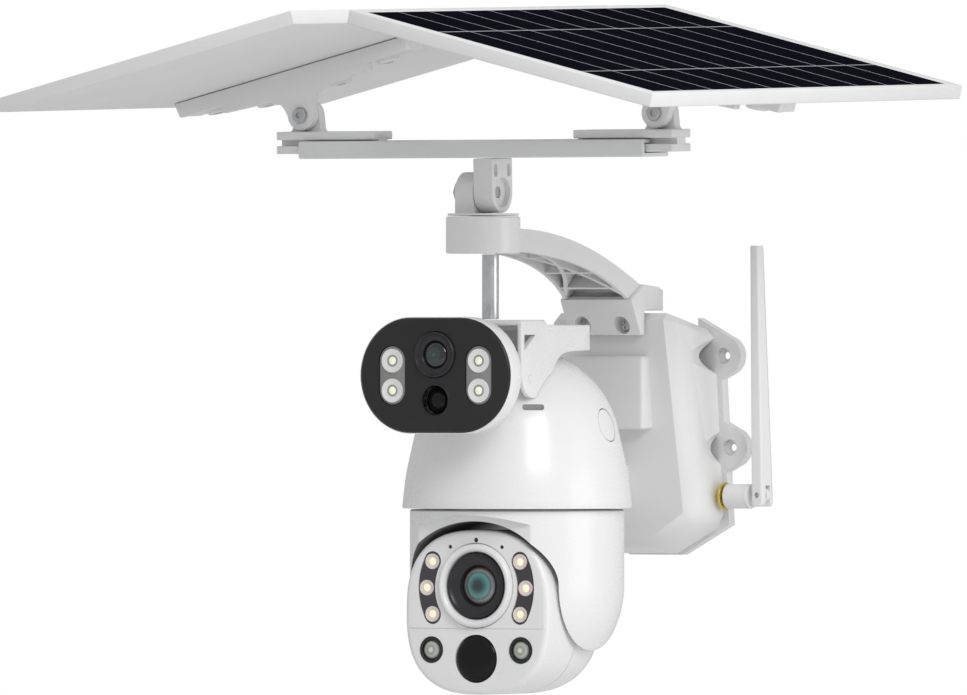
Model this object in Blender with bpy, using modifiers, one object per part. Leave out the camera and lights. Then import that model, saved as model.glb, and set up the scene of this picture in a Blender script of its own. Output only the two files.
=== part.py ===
"""Solar-powered twin camera on a wall box: a fixed camera over a pan and tilt dome, under two solar panels.

The origin is the middle of the wall plate's back face. +Z is up, +Y points into the wall, and the cameras
look along -Y. All lengths are metres.
"""

import math

import bmesh
import bpy
from mathutils import Matrix, Vector

# Driving dimensions
GAP = 0.0004
WALL = 0.0025

# Wall box, whose front leans back towards its foot
PLATE_T = 0.0066
BOX_BACK = [(0.0407, 0.0622), (0.0467, -0.0455), (0.0165, -0.0622)]
BOX_FRONT = [(0.0385, 0.0732), (0.0440, -0.0412), (0.0193, -0.0567)]
BOX_FRONT_TOP_Y = -0.0588
BOX_FRONT_LEAN = 0.124
EARS = [(0.0430, 0.0485), (0.0470, -0.0025)]
EAR_R = 0.0110
EAR_HOLE_R = 0.0044
SCOOP_R = 0.0135
SCOOP_END_R = 0.0036

# Solar arm and mast
ARM_WIDTH = (0.0115, 0.0205)
ARM_BASE_Y = -0.0620
MAST_Y = -0.1990
COLLAR_R = 0.0204
COLLAR_Z = (0.1045, 0.1249)
MAST_HINGE_Z = 0.1380
HEAD_PITCH = math.radians(1.41)
LUG_T = 0.0116
LUG_R = 0.0112

# Cross bar, sliders and panels
BAR = (0.2178, 0.0292, 0.0097)
BAR_Z = 0.1571
BAR_WALL = 0.0022
SLIDER_X = 0.0940
SLIDER = (0.0620, 0.0210)
PANEL_HINGE = (0.1119, 0.1810)
KNUCKLE_R = 0.0083
KNUCKLE_T = 0.0064
PANEL = (0.1930, 0.3466, 0.0078)
PANEL_TOP = 0.0342
PANEL_SHIFT = 0.0085
PANEL_TILT = math.radians(13.93)

# Pan and tilt dome
DOME_Y = -0.1617
DOME_R = 0.0569
DOME_CENTRE_Z = -0.0037
DOME_SIDE = [(0.0566, 0.0040), (0.0592, -0.0078), (0.0608, -0.0155), (0.0620, -0.0240)]
SKIRT_R = 0.0632
SKIRT_Z = -0.0352
COVER = (4.5, 14.7)
COVER_R = 0.0092
YOKE_R = 0.0589
YOKE_TOP_Z = -0.0358
YOKE_ROUND_Z = -0.0773
YOKE_INSIDE = 0.04675
YOKE_ARCH = 0.0353
TILT_Z = -0.0919
HEAD_R = 0.0451
HEAD_BACK = 0.0465
HEAD_SPLIT_Y = DOME_Y - 0.012
FACE_Y = DOME_Y - 0.0451
HEAD_POWER = 2.6
LENS_Z = -0.0773
LED_ARC_R = 0.0312
LED_ARC_Z = -0.0785
SPOT = (0.0282, -0.1125)
PIR_Z = -0.1173

# Upper fixed camera
UPPER_Y = -0.2517
UPPER_Z = 0.0379
UPPER = (0.0469, 0.0310)
UPPER_PIVOT = (-0.2045, 0.0360)
CHEEK_X = (0.0303, 0.0333)

# Antenna
ANTENNA = (0.0475, -0.0154, -0.0295)
ELBOW = (0.0728, -0.0288)
BLADE_TOP_Z = 0.1095
BLADE_CORNER = 0.0025

WHITE = ((0.84, 0.845, 0.85, 1), 0.42, 0.0)
GREY = ((0.66, 0.665, 0.67, 1), 0.50, 0.0)
BLACK = ((0.02, 0.02, 0.022, 1), 0.22, 0.0)
CELL = ((0.008, 0.008, 0.016, 1), 0.12, 0.0)
STEEL = ((0.62, 0.63, 0.64, 1), 0.28, 1.0)
BRASS = ((0.72, 0.55, 0.20, 1), 0.30, 1.0)
GLASS = ((0.03, 0.11, 0.12, 1), 0.05, 0.0)
LAMP = ((0.92, 0.86, 0.72, 1), 0.15, 0.0)
BOARD = ((0.03, 0.22, 0.09, 1), 0.50, 0.0)
BATTERY = ((0.10, 0.25, 0.55, 1), 0.40, 0.0)


# Scene set-up and small helpers
for old in list(bpy.data.objects):
    bpy.data.objects.remove(old)
parts = bpy.data.collections.new("solar_camera")
cutters = bpy.data.collections.new("cutters")
bpy.context.scene.collection.children.link(parts)
bpy.context.scene.collection.children.link(cutters)


def material(name, look):
    mat = bpy.data.materials.new(name)
    mat.use_nodes = True
    shader = mat.node_tree.nodes["Principled BSDF"]
    shader.inputs["Base Color"].default_value = look[0]
    shader.inputs["Roughness"].default_value = look[1]
    shader.inputs["Metallic"].default_value = look[2]
    return mat


def add(name, bm, look=None, at=(0, 0, 0)):
    """An object from a bmesh: a part when it has a look, and otherwise a cutter."""
    bmesh.ops.recalc_face_normals(bm, faces=bm.faces)
    mesh = bpy.data.meshes.new(name)
    bm.to_mesh(mesh)
    bm.free()
    obj = bpy.data.objects.new(name, mesh)
    obj.location = at
    if look:
        mesh.materials.append(material(name, look))
        mesh.shade_smooth()
        mesh.set_sharp_from_angle(angle=math.radians(35))
        parts.objects.link(obj)
    else:
        obj.hide_render = True
        obj.display_type = "WIRE"
        cutters.objects.link(obj)
    return obj


def box(name, low, high, look=None):
    bm = bmesh.new()
    bmesh.ops.create_cube(bm, size=1)
    size = Vector(high) - Vector(low)
    bmesh.ops.scale(bm, vec=size, verts=bm.verts)
    bmesh.ops.translate(bm, vec=(Vector(high) + Vector(low)) / 2, verts=bm.verts)
    return add(name, bm, look)


def cylinder(name, radius, start, end, look=None, sides=24, radius_end=None):
    """A cylinder or cone between two points."""
    start = Vector(start)
    along = Vector(end) - start
    bm = bmesh.new()
    bmesh.ops.create_cone(
        bm, cap_ends=True, segments=sides, depth=along.length, radius1=radius, radius2=radius_end or radius
    )
    turn = Vector((0, 0, 1)).rotation_difference(along.normalized()).to_matrix().to_4x4()
    bmesh.ops.transform(bm, matrix=Matrix.Translation(start + along / 2) @ turn, verts=bm.verts)
    return add(name, bm, look)


def turned(name, profile, axis_at, look=None, sides=48):
    """A profile of (radius, height) points, from its outer side's top down, turned about a vertical axis."""
    bm = bmesh.new()
    verts = [bm.verts.new((r, 0, z)) for r, z in profile]
    for first, second in zip(verts, verts[1:]):
        bm.edges.new((first, second))
    bmesh.ops.spin(
        bm, geom=bm.verts[:] + bm.edges[:], cent=(0, 0, 0), axis=(0, 0, 1), angle=2 * math.pi, steps=sides
    )
    bmesh.ops.remove_doubles(bm, verts=bm.verts, dist=1e-6)
    return add(name, bm, look, axis_at)


def loft(name, rings, look=None):
    """A closed solid through rings of equally many points, capped at both ends."""
    bm = bmesh.new()
    rows = [[bm.verts.new(p) for p in ring] for ring in rings]
    count = len(rows[0])
    for low, high in zip(rows, rows[1:]):
        for i in range(count):
            j = (i + 1) % count
            bm.faces.new((low[i], low[j], high[j], high[i]))
    bm.faces.new(rows[0])
    bm.faces.new(rows[-1])
    return add(name, bm, look)


def slab(name, outline, low, high, plane, look=None):
    """An outline drawn in the XZ or YZ plane, given thickness along the third axis."""
    rings = []
    for depth in (low, high):
        if plane == "XZ":
            rings.append([(a, depth, b) for a, b in outline])
        else:
            rings.append([(depth, a, b) for a, b in outline])
    return loft(name, rings, look)


def arc(centre, radius, start, end, steps=8):
    """Points along an arc, with angles in degrees."""
    angles = [math.radians(start + (end - start) * i / steps) for i in range(steps + 1)]
    return [(centre[0] + radius * math.cos(a), centre[1] + radius * math.sin(a)) for a in angles]


def stadium(half_width, half_height, centre=(0, 0), steps=8):
    """An outline with straight top and bottom and round ends."""
    reach = half_width - half_height
    right = arc((centre[0] + reach, centre[1]), half_height, -90, 90, steps)
    left = arc((centre[0] - reach, centre[1]), half_height, 90, 270, steps)
    return right + left


def superellipse(radius, power, centre_z, steps=28):
    """A squared circle about (0, centre_z)."""
    points = []
    for i in range(steps):
        a = 2 * math.pi * i / steps
        c, s = math.cos(a), math.sin(a)
        x = math.copysign(abs(c) ** (2 / power), c) * radius
        points.append((x, centre_z + math.copysign(abs(s) ** (2 / power), s) * radius))
    return points


def boolean(target, other, operation):
    mod = target.modifiers.new(operation.lower(), "BOOLEAN")
    mod.operation = operation
    mod.object = other
    mod.solver = "EXACT"


def cut(target, *others):
    for other in others:
        boolean(target, other, "DIFFERENCE")


def join(target, *others):
    for other in others:
        boolean(target, other, "UNION")


def bevel(obj, width, segments=2, angle=40):
    mod = obj.modifiers.new("bevel", "BEVEL")
    mod.width = width
    mod.segments = segments
    mod.limit_method = "ANGLE"
    mod.angle_limit = math.radians(angle)


def mirrored(outline):
    """The right half of an outline, from top to bottom, with its mirror image added."""
    return outline + [(-x, z) for x, z in reversed(outline)]


stands_at = {}


def pivot(name, at, rotation=(0, 0, 0), parent=None):
    """An empty on a joint's axis, which carries the pieces that move about it."""
    empty = bpy.data.objects.new(name, None)
    parts.objects.link(empty)
    empty.rotation_euler = rotation
    empty.location = Vector(at)
    if parent:
        empty.parent = parent
        empty.location -= stands_at[parent.name]
    stands_at[name] = Vector(at)
    return empty


def carry(empty, *objects):
    """Hangs objects, drawn in place before any tilt, on an empty, together with what cuts or joins them."""
    for obj in objects:
        if obj.parent:
            continue
        obj.parent = empty
        obj.location -= stands_at[empty.name]
        carry(empty, *[mod.object for mod in obj.modifiers if mod.type == "BOOLEAN"])


# Wall plate with its ears, and the battery box in front of it
def box_loft(name, inset, front_inset, look=None):
    """The battery box's form: two unlike outlines, the front one leaning."""
    back = mirrored([(x - inset, z - math.copysign(inset, z)) for x, z in BOX_BACK])
    front = mirrored([(x - inset, z - math.copysign(inset, z)) for x, z in BOX_FRONT])
    front_z = BOX_FRONT[0][1]
    lean = [(x, BOX_FRONT_TOP_Y + front_inset + (front_z - z) * BOX_FRONT_LEAN, z) for x, z in front]
    mouth_y = -PLATE_T - GAP if not inset else 0.002
    return loft(name, [[(x, mouth_y, z) for x, z in back], lean], look)


def ear_outline(x, z, side):
    """A teardrop lug: a round end about the screw hole, running back into the plate."""
    tip = arc((x, z), EAR_R, -70, 70)
    points = [(x - 0.016, z - 0.021)] + tip + [(x - 0.016, z + 0.021)]
    return [(side * a, b) for a, b in points]


rear_cover = slab("rear_cover", mirrored(BOX_BACK), -PLATE_T, 0, "XZ", GREY)
for i, (ear_x, ear_z) in enumerate(EARS):
    for side in (-1, 1):
        join(rear_cover, slab(f"ear_{i}_{side}", ear_outline(ear_x, ear_z, side), -PLATE_T, 0, "XZ"))
for i, (ear_x, ear_z) in enumerate(EARS):
    for side in (-1, 1):
        at = side * ear_x
        hole = cylinder(f"ear_hole_{i}_{side}", 0.0022, (at, -0.02, ear_z), (at, 0.01, ear_z), sides=16)
        seat = cylinder(
            f"ear_seat_{i}_{side}", EAR_HOLE_R, (at, -0.02, ear_z), (at, -0.0026, ear_z), sides=16
        )
        cut(rear_cover, hole, seat)

battery_box = box_loft("battery_box", 0, 0, GREY)
bevel(battery_box, 0.0050, 1, 50)
join(battery_box, box("box_step", (-0.0231, -0.0627, 0.0077), (0.0231, -0.030, 0.0484)))
join(battery_box, box("box_neck", (-0.0060, -0.115, -0.031), (0.0060, -0.030, -0.0120)))
box_hollow = box_loft("box_hollow", WALL + 0.0006, WALL + 0.0006)
for i, (ear_x, ear_z) in enumerate(EARS):
    for side in (-1, 1):
        at = side * ear_x
        reach = -0.044 if i == 0 else -0.036
        wall = cylinder(
            f"scoop_wall_{i}_{side}",
            SCOOP_R + 0.0034,
            (at, 0.001, ear_z),
            (at, reach - 0.0024, ear_z),
            radius_end=SCOOP_END_R + 0.0030,
        )
        cut(box_hollow, wall)
cut(battery_box, box_hollow)
for i, (ear_x, ear_z) in enumerate(EARS):
    for side in (-1, 1):
        at = side * (ear_x + 0.0015)
        reach = -0.044 if i == 0 else -0.036
        scoop = cylinder(
            f"scoop_{i}_{side}", SCOOP_R, (at, 0.001, ear_z), (at, reach, ear_z), radius_end=SCOOP_END_R
        )
        cut(battery_box, scoop)
sma_x, sma_y, sma_z = ANTENNA
cut(
    battery_box,
    cylinder("antenna_hole", 0.0036, (sma_x - 0.010, sma_y, sma_z), (sma_x + 0.010, sma_y, sma_z), sides=14),
)

# What the box holds
for i in range(3):
    x = 0.0187 * (i - 1)
    cylinder(f"battery_cell_{i + 1}", 0.0090, (x, -0.0185, -0.0345), (x, -0.0185, 0.0305), BATTERY, 20)
charge_board = box("charge_board", (-0.024, -0.0350, -0.030), (0.024, -0.0334, 0.024), BOARD)

# Arm: a curved channel from the box's top to the mast collar, with lattice ribs underneath
def arm_curve(points, steps=7):
    """A smooth run through four control points, as a cubic Bezier in the YZ plane."""
    a, b, c, d = (Vector(p) for p in points)
    run = []
    for i in range(steps + 1):
        t = i / steps
        run.append(a * (1 - t) ** 3 + b * 3 * t * (1 - t) ** 2 + c * 3 * t * t * (1 - t) + d * t ** 3)
    return run


ARM_TOP = [(-0.190, 0.1183), (-0.135, 0.1190), (-0.095, 0.1050), (-0.0600, 0.0875)]
ARM_LOW = [(-0.190, 0.1060), (-0.135, 0.1040), (-0.098, 0.0960), (-0.0745, 0.0800)]


def arm_loft(name, top_inset, side_inset, drop, look=None):
    """The arm's form, flaring from the collar to its foot. drop lowers the underside to open it."""
    rings = []
    for i, (top, low) in enumerate(zip(arm_curve(ARM_TOP), arm_curve(ARM_LOW))):
        t = i / 7
        half = ARM_WIDTH[0] + (ARM_WIDTH[1] - ARM_WIDTH[0]) * t - side_inset
        up = (top - low).normalized() * top_inset
        head, foot = top - up, low - (top - low).normalized() * drop
        rings.append([(-half, *foot), (half, *foot), (half, *head), (-half, *head)])
    return loft(name, rings, look)


solar_arm = arm_loft("solar_arm", 0, 0, 0, WHITE)
arm_channel = arm_loft("arm_channel", 0.0026, 0.0022, 0.004)
foot_profile = [
    (-0.0745, 0.0795), (-0.0640, 0.0600), (-0.0594, 0.0600), (-0.0594, 0.0736), (-0.0385, 0.0736)
]
foot_profile += [(-0.0385, 0.0850), (-0.0450, 0.0868), (-0.0600, 0.0880)]
join(solar_arm, slab("arm_foot", foot_profile, -0.0228, 0.0228, "YZ"))
cut(solar_arm, arm_channel)
for i in range(3):
    t = (0.30, 0.56, 0.80)[i]
    top, low = arm_curve(ARM_TOP, 50)[int(50 * t)], arm_curve(ARM_LOW, 50)[int(50 * t)]
    half = ARM_WIDTH[0] + (ARM_WIDTH[1] - ARM_WIDTH[0]) * t - 0.001
    join(
        solar_arm,
        box(f"arm_rib_{i}", (-half, low.x - 0.0012, low.y + 0.0008), (half, low.x + 0.0012, top.y - 0.003)),
    )
cut(solar_arm, cylinder("collar_clearance", COLLAR_R + GAP, (0, MAST_Y, 0.09), (0, MAST_Y, 0.14), sides=36))
for side in (-1, 1):
    cut(
        solar_arm,
        cylinder(
            f"arm_recess_{side}",
            0.0048,
            (side * 0.0124, -0.09, 0.0655),
            (side * 0.0124, -0.0612, 0.0655),
            sides=18,
        ),
    )
    cylinder(
        f"arm_screw_{'left' if side < 0 else 'right'}",
        0.0036,
        (side * 0.0124, -0.0636, 0.0655),
        (side * 0.0124, -0.0616, 0.0655),
        STEEL,
        14,
    )

mast_collar = cylinder(
    "mast_collar", COLLAR_R, (0, MAST_Y, COLLAR_Z[0]), (0, MAST_Y, COLLAR_Z[1]), WHITE, 36
)
cut(
    mast_collar,
    cylinder("collar_bore", 0.0072, (0, MAST_Y, COLLAR_Z[0] + 0.006), (0, MAST_Y, 0.13), sides=24),
)
cylinder(
    "support_rod", 0.0046, (0, MAST_Y + 0.008, 0.0686), (0, MAST_Y + 0.008, COLLAR_Z[0] - GAP), STEEL, 28
)


# Dome that hangs from the box's neck, and the bracket over it
def dome_profile(extra, steps=9):
    """The dome's outer side, from its crown down to the skirt."""
    crown = arc((0, DOME_CENTRE_Z), DOME_R + extra, 90, 12, steps)
    return crown + [(r + extra, z) for r, z in DOME_SIDE] + [(SKIRT_R + extra, SKIRT_Z)]


def dome_shell(name, look=None):
    """The dome's wall, open below."""
    outer = dome_profile(0)
    inner = dome_profile(-WALL, 6)[::-1]
    outer[0] = (0, outer[0][1])
    inner[-1] = (0, inner[-1][1])
    return turned(name, outer + inner, (0, DOME_Y, 0), look, 32)


def cover_plug(name, grow):
    """A cylinder square to the dome's right side, where the round card cover sits."""
    turn, rise = (math.radians(a) for a in COVER)
    along = Vector((math.cos(turn) * math.cos(rise), math.sin(turn) * math.cos(rise), math.sin(rise)))
    centre = Vector((0, DOME_Y, DOME_CENTRE_Z))
    return cylinder(name, COVER_R + grow, centre + along * 0.040, centre + along * 0.070, sides=20)


dome_cap = dome_shell("dome_cap", WHITE)
cut(dome_cap, cover_plug("cover_hole", GAP))
card_cover = dome_shell("card_cover", WHITE)
boolean(card_cover, cover_plug("cover_shape", 0), "INTERSECT")
dome_space = dome_profile(0.0006)
dome_space[0] = (0, dome_space[0][1])
dome_space = turned("dome_space", dome_space + [(0, SKIRT_Z)], (0, DOME_Y, 0), None, 36)
cut(battery_box, dome_space)
dome_floor = cylinder("dome_floor", 0.0575, (0, DOME_Y, -0.0343), (0, DOME_Y, -0.0318), GREY, 24)
cut(dome_floor, cylinder("bearing_seat", 0.0184, (0, DOME_Y, -0.04), (0, DOME_Y, -0.02), sides=18))
for turn in (30, 150, 270):
    x, y = arc((0, DOME_Y), 0.0350, turn, turn, 1)[0]
    join(dome_floor, cylinder(f"board_post_{turn}", 0.0030, (x, y, -0.0325), (x, y, 0.0016), sides=8))
pan_bearing = cylinder("pan_bearing", 0.0180, (0, DOME_Y, -0.0340), (0, DOME_Y, -0.0280), STEEL, 24)
cut(pan_bearing, cylinder("bearing_bore", 0.0064, (0, DOME_Y, -0.04), (0, DOME_Y, -0.02), sides=14))
cylinder("pan_motor", 0.0140, (0, DOME_Y, -0.0276), (0, DOME_Y, -0.0080), STEEL, 24)
cylinder("main_board", 0.0420, (0, DOME_Y, 0.0020), (0, DOME_Y, 0.0036), BOARD, 32)


def bracket_cheek(name, low, high):
    """One side of the bracket: flat on top, curving down to the camera's pivot in front."""
    lower = [(-0.1386, 0.0655), (-0.1386, 0.0515), (-0.1640, 0.0510), (-0.1710, 0.0485), (-0.1765, 0.0440)]
    lower += [(-0.1815, 0.0385), (-0.1880, 0.0305), (-0.1945, 0.0268), (-0.2010, 0.0252), (-0.2075, 0.0275)]
    front = [(-0.2125, 0.0330), (-0.2145, 0.0420), (-0.2145, 0.0682), (-0.1880, 0.0682), (-0.1850, 0.0655)]
    return slab(name, lower + front, low, high, "YZ")


upper_bracket = box("upper_bracket", (-CHEEK_X[1], -0.2145, 0.0650), (CHEEK_X[1], -0.1872, 0.0682), WHITE)
join(upper_bracket, box("bracket_deck", (-CHEEK_X[1], -0.1880, 0.0625), (CHEEK_X[1], -0.1386, 0.0655)))
for side in (-1, 1):
    low, high = sorted((side * CHEEK_X[0], side * CHEEK_X[1]))
    join(upper_bracket, bracket_cheek(f"cheek_{side}", low, high))
join(upper_bracket, cylinder("bracket_post", 0.0150, (0, DOME_Y, 0.040), (0, DOME_Y, 0.0640), sides=24))
slot = [(-0.2112, 0.0600), (-0.1990, 0.0600), (-0.2112, 0.0515)]
cut(upper_bracket, slab("cheek_slot", slot, -0.05, 0.05, "YZ"), dome_space)
for side in (-1, 1):
    start, end = sorted((side * 0.0270, side * 0.0360))
    pin_name = "upper_pin_left" if side < 0 else "upper_pin_right"
    cylinder(pin_name, 0.0022, (start, *UPPER_PIVOT), (end, *UPPER_PIVOT), STEEL, 14)
    cut(
        upper_bracket,
        cylinder(
            f"cheek_hole_{side}",
            0.0025,
            (side * 0.020, *UPPER_PIVOT),
            (side * 0.040, *UPPER_PIVOT),
            sides=14,
        ),
    )

sma = cylinder("sma_connector", 0.0080, (0.0484, sma_y, sma_z), (0.0504, sma_y, sma_z), BRASS, 28)
join(sma, cylinder("sma_thread", 0.0031, (sma_x - 0.006, sma_y, sma_z), (0.0555, sma_y, sma_z), sides=14))


# Mast: a clevis that turns in the collar, and a lug on the bar that tilts against it
mast = pivot("mast_swivel", (0, MAST_Y, MAST_HINGE_Z))
clevis = cylinder(
    "mast_clevis", 0.0195, (0, MAST_Y, COLLAR_Z[1] + GAP), (0, MAST_Y, COLLAR_Z[1] + 0.0016), WHITE, 32
)
join(
    clevis,
    cylinder(
        "mast_stem", 0.0069, (0, MAST_Y, COLLAR_Z[0] + 0.0065), (0, MAST_Y, COLLAR_Z[1] + 0.001), sides=24
    ),
)


def lug_outline(foot_z):
    """A tongue about the mast hinge, square towards foot_z."""
    if foot_z > MAST_HINGE_Z:
        bend = arc((MAST_Y, MAST_HINGE_Z), LUG_R, 180, 360, 10)
    else:
        bend = arc((MAST_Y, MAST_HINGE_Z), LUG_R, 0, 180, 10)
    return bend + [(bend[-1][0], foot_z), (bend[0][0], foot_z)]


join(clevis, slab("clevis_ear", lug_outline(COLLAR_Z[1] + 0.0008), -LUG_T, -GAP / 2, "YZ"))
cut(
    clevis,
    cylinder("clevis_hole", 0.0032, (-0.03, MAST_Y, MAST_HINGE_Z), (0.01, MAST_Y, MAST_HINGE_Z), sides=18),
)
bolt = cylinder(
    "mast_bolt", 0.0030, (-LUG_T - 0.0012, MAST_Y, MAST_HINGE_Z), (0.0092, MAST_Y, MAST_HINGE_Z), STEEL, 24
)
join(
    bolt,
    cylinder(
        "mast_bolt_head",
        0.0062,
        (-LUG_T - 0.0040, MAST_Y, MAST_HINGE_Z),
        (-LUG_T - GAP, MAST_Y, MAST_HINGE_Z),
        sides=6,
    ),
)
carry(mast, clevis, bolt)

head = pivot("head_tilt", (0, MAST_Y, MAST_HINGE_Z), (HEAD_PITCH, 0, 0), mast)
bar_lug = slab("bar_lug", lug_outline(BAR_Z - GAP), GAP / 2, LUG_T + 0.0007, "YZ", WHITE)
bevel(bar_lug, 0.0006, 1, 60)
lug_end = LUG_T + 0.0007
cut(
    bar_lug,
    cylinder("lug_hole", 0.0032, (-0.01, MAST_Y, MAST_HINGE_Z), (0.03, MAST_Y, MAST_HINGE_Z), sides=18),
)
cut(
    bar_lug,
    cylinder(
        "lug_recess", 0.0082, (lug_end - 0.003, MAST_Y, MAST_HINGE_Z), (0.03, MAST_Y, MAST_HINGE_Z), sides=24
    ),
)
for side in (-1, 1):
    y = MAST_Y + side * 0.0071
    cut(bar_lug, box(f"lug_slot_{side}", (lug_end - 0.002, y - 0.0019, 0.1468), (0.03, y + 0.0019, 0.1538)))

bar_length, bar_width, bar_height = BAR
cross_bar = box(
    "cross_bar",
    (-bar_length / 2, MAST_Y - bar_width / 2, BAR_Z),
    (bar_length / 2, MAST_Y + bar_width / 2, BAR_Z + bar_height),
    WHITE,
)
bevel(cross_bar, 0.0012, 2)
bar_top = BAR_Z + bar_height
far = bar_length / 2 + 0.01
inner = bar_width / 2 - BAR_WALL
cut(
    cross_bar,
    box("bar_hollow", (-far, MAST_Y - inner, BAR_Z + BAR_WALL), (far, MAST_Y + inner, bar_top - 0.0020)),
)
cut(
    cross_bar,
    box("bar_mouth", (-far, MAST_Y - 0.0052, BAR_Z + 0.004), (far, MAST_Y + 0.0052, bar_top + 0.01)),
)
carry(head, bar_lug, cross_bar)

# Two sliders on the bar, each with a knuckle for its panel
panel_x, panel_z = PANEL_HINGE


def make_slider(side, word):
    """An I-shaped slider whose flange runs inside the bar, with the rear half of the panel's knuckle."""
    slide = pivot(f"{word}_slide", (side * SLIDER_X, MAST_Y, BAR_Z), (0, 0, 0), head)
    half, width = SLIDER[0] / 2, SLIDER[1] / 2
    low, high = side * SLIDER_X - half, side * SLIDER_X + half
    body = box(
        f"slider_{word}",
        (low, MAST_Y - width, bar_top + 0.0006),
        (high, MAST_Y + width, bar_top + 0.0052),
        WHITE,
    )
    join(
        body,
        box(
            f"slider_neck_{word}",
            (low, MAST_Y - 0.0046, BAR_Z + 0.0060),
            (high, MAST_Y + 0.0046, bar_top + 0.001),
        ),
    )
    join(
        body,
        box(
            f"slider_flange_{word}",
            (low, MAST_Y - width, BAR_Z + 0.0027),
            (high, MAST_Y + width, BAR_Z + 0.0071),
        ),
    )
    x = side * panel_x
    dome = arc((x, panel_z), KNUCKLE_R, 180, 0, 10)
    foot = [(x + KNUCKLE_R + 0.0010, bar_top + 0.0075), (x + KNUCKLE_R + 0.0040, bar_top + 0.0045)]
    foot += [(x - KNUCKLE_R - 0.0040, bar_top + 0.0045), (x - KNUCKLE_R - 0.0010, bar_top + 0.0075)]
    join(body, slab(f"slider_ear_{word}", dome + foot, MAST_Y + GAP / 2, MAST_Y + KNUCKLE_T, "XZ"))
    cut(
        body,
        cylinder(
            f"slider_hole_{word}", 0.0022, (x, MAST_Y - 0.02, panel_z), (x, MAST_Y + 0.02, panel_z), sides=14
        ),
    )
    bolt = cylinder(
        f"hinge_bolt_{word}",
        0.0020,
        (x, MAST_Y - KNUCKLE_T - 0.0010, panel_z),
        (x, MAST_Y + KNUCKLE_T + 0.0012, panel_z),
        STEEL,
        14,
    )
    join(
        bolt,
        cylinder(
            f"hinge_head_{word}",
            0.0042,
            (x, MAST_Y - KNUCKLE_T - 0.0022, panel_z),
            (x, MAST_Y - KNUCKLE_T - GAP, panel_z),
            sides=6,
        ),
    )
    join(
        bolt,
        cylinder(
            f"hinge_nut_{word}",
            0.0042,
            (x, MAST_Y + KNUCKLE_T + GAP, panel_z),
            (x, MAST_Y + KNUCKLE_T + 0.0028, panel_z),
            sides=6,
        ),
    )
    carry(slide, body, bolt)
    return slide


# Panels, drawn flat over their hinge and then tilted by it
def make_panel(side, word, slide):
    """A framed panel on a ribbed carrier. Out is away from the mast."""
    hinge = pivot(f"{word}_hinge", (side * panel_x, MAST_Y, panel_z), (0, side * PANEL_TILT, 0), slide)
    length, width, thick = PANEL
    top = panel_z + PANEL_TOP
    x = side * (panel_x - PANEL_SHIFT)
    under = top - thick
    frame = box(
        f"panel_frame_{word}",
        (x - length / 2, MAST_Y - width / 2, under),
        (x + length / 2, MAST_Y + width / 2, top),
        WHITE,
    )
    bevel(frame, 0.0008, 1)
    rim = 0.0070
    cut(
        frame,
        box(
            f"frame_well_{word}",
            (x - length / 2 + rim, MAST_Y - width / 2 + rim, top - 0.0034),
            (x + length / 2 - rim, MAST_Y + width / 2 - rim, top + 0.01),
        ),
    )
    rim += GAP
    glass = box(
        f"solar_cells_{word}",
        (x - length / 2 + rim, MAST_Y - width / 2 + rim, top - 0.0030),
        (x + length / 2 - rim, MAST_Y + width / 2 - rim, top - 0.0004),
        CELL,
    )
    hx = side * panel_x
    low = under - GAP
    beam = [(hx - 0.0770, low), (hx + 0.0760, low), (hx + 0.0745, low - 0.0080), (hx + 0.0480, low - 0.0085)]
    beam += [
        (hx + 0.0480, low - 0.0125), (hx + 0.0180, low - 0.0140), (hx + KNUCKLE_R + 0.0010, panel_z + 0.0055)
    ]
    beam += arc((hx, panel_z), KNUCKLE_R, 10, -190, 12)
    beam += [(hx - KNUCKLE_R - 0.0010, panel_z + 0.0055), (hx - 0.0180, low - 0.0140)]
    beam += [(hx - 0.0480, low - 0.0125), (hx - 0.0480, low - 0.0085), (hx - 0.0755, low - 0.0080)]
    carrier = slab(f"panel_carrier_{word}", beam, MAST_Y - KNUCKLE_T, MAST_Y - GAP / 2, "XZ", GREY)
    join(
        carrier,
        box(
            f"carrier_beam_{word}",
            (hx - 0.0740, MAST_Y - 0.0064, low - 0.0078),
            (hx + 0.0740, MAST_Y + 0.0130, low),
        ),
    )
    for step in (-1, 1):
        for row in (-1, 1):
            at = (hx + step * (0.024 if row < 0 else 0.056), MAST_Y + 0.004)
            deep = 0.0145 if row < 0 else 0.0105
            join(
                carrier,
                cylinder(
                    f"carrier_boss_{word}_{step}_{row}",
                    0.0062,
                    (*at, low - deep),
                    (*at, low - 0.002),
                    sides=14,
                ),
            )
    cut(
        carrier,
        cylinder(
            f"carrier_hole_{word}",
            0.0022,
            (hx, MAST_Y - 0.02, panel_z),
            (hx, MAST_Y + 0.02, panel_z),
            sides=14,
        ),
    )
    carry(hinge, frame, glass, carrier)


for side, word in ((-1, "left"), (1, "right")):
    make_panel(side, word, make_slider(side, word))


# Upper camera, on two short pins between the bracket's cheeks
upper = pivot("upper_tilt", (0, *UPPER_PIVOT))
upper_width, upper_height = UPPER


def upper_loft(name, steps, look=None):
    """Stadiums of (y, how much smaller than the rim) joined one behind the other."""
    rings = []
    for y, less in steps:
        outline = stadium(upper_width + 0.0009 - less, upper_height + 0.0009 - less, (0, UPPER_Z))
        rings.append([(x, y, z) for x, z in outline])
    return loft(name, rings, look)


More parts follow.
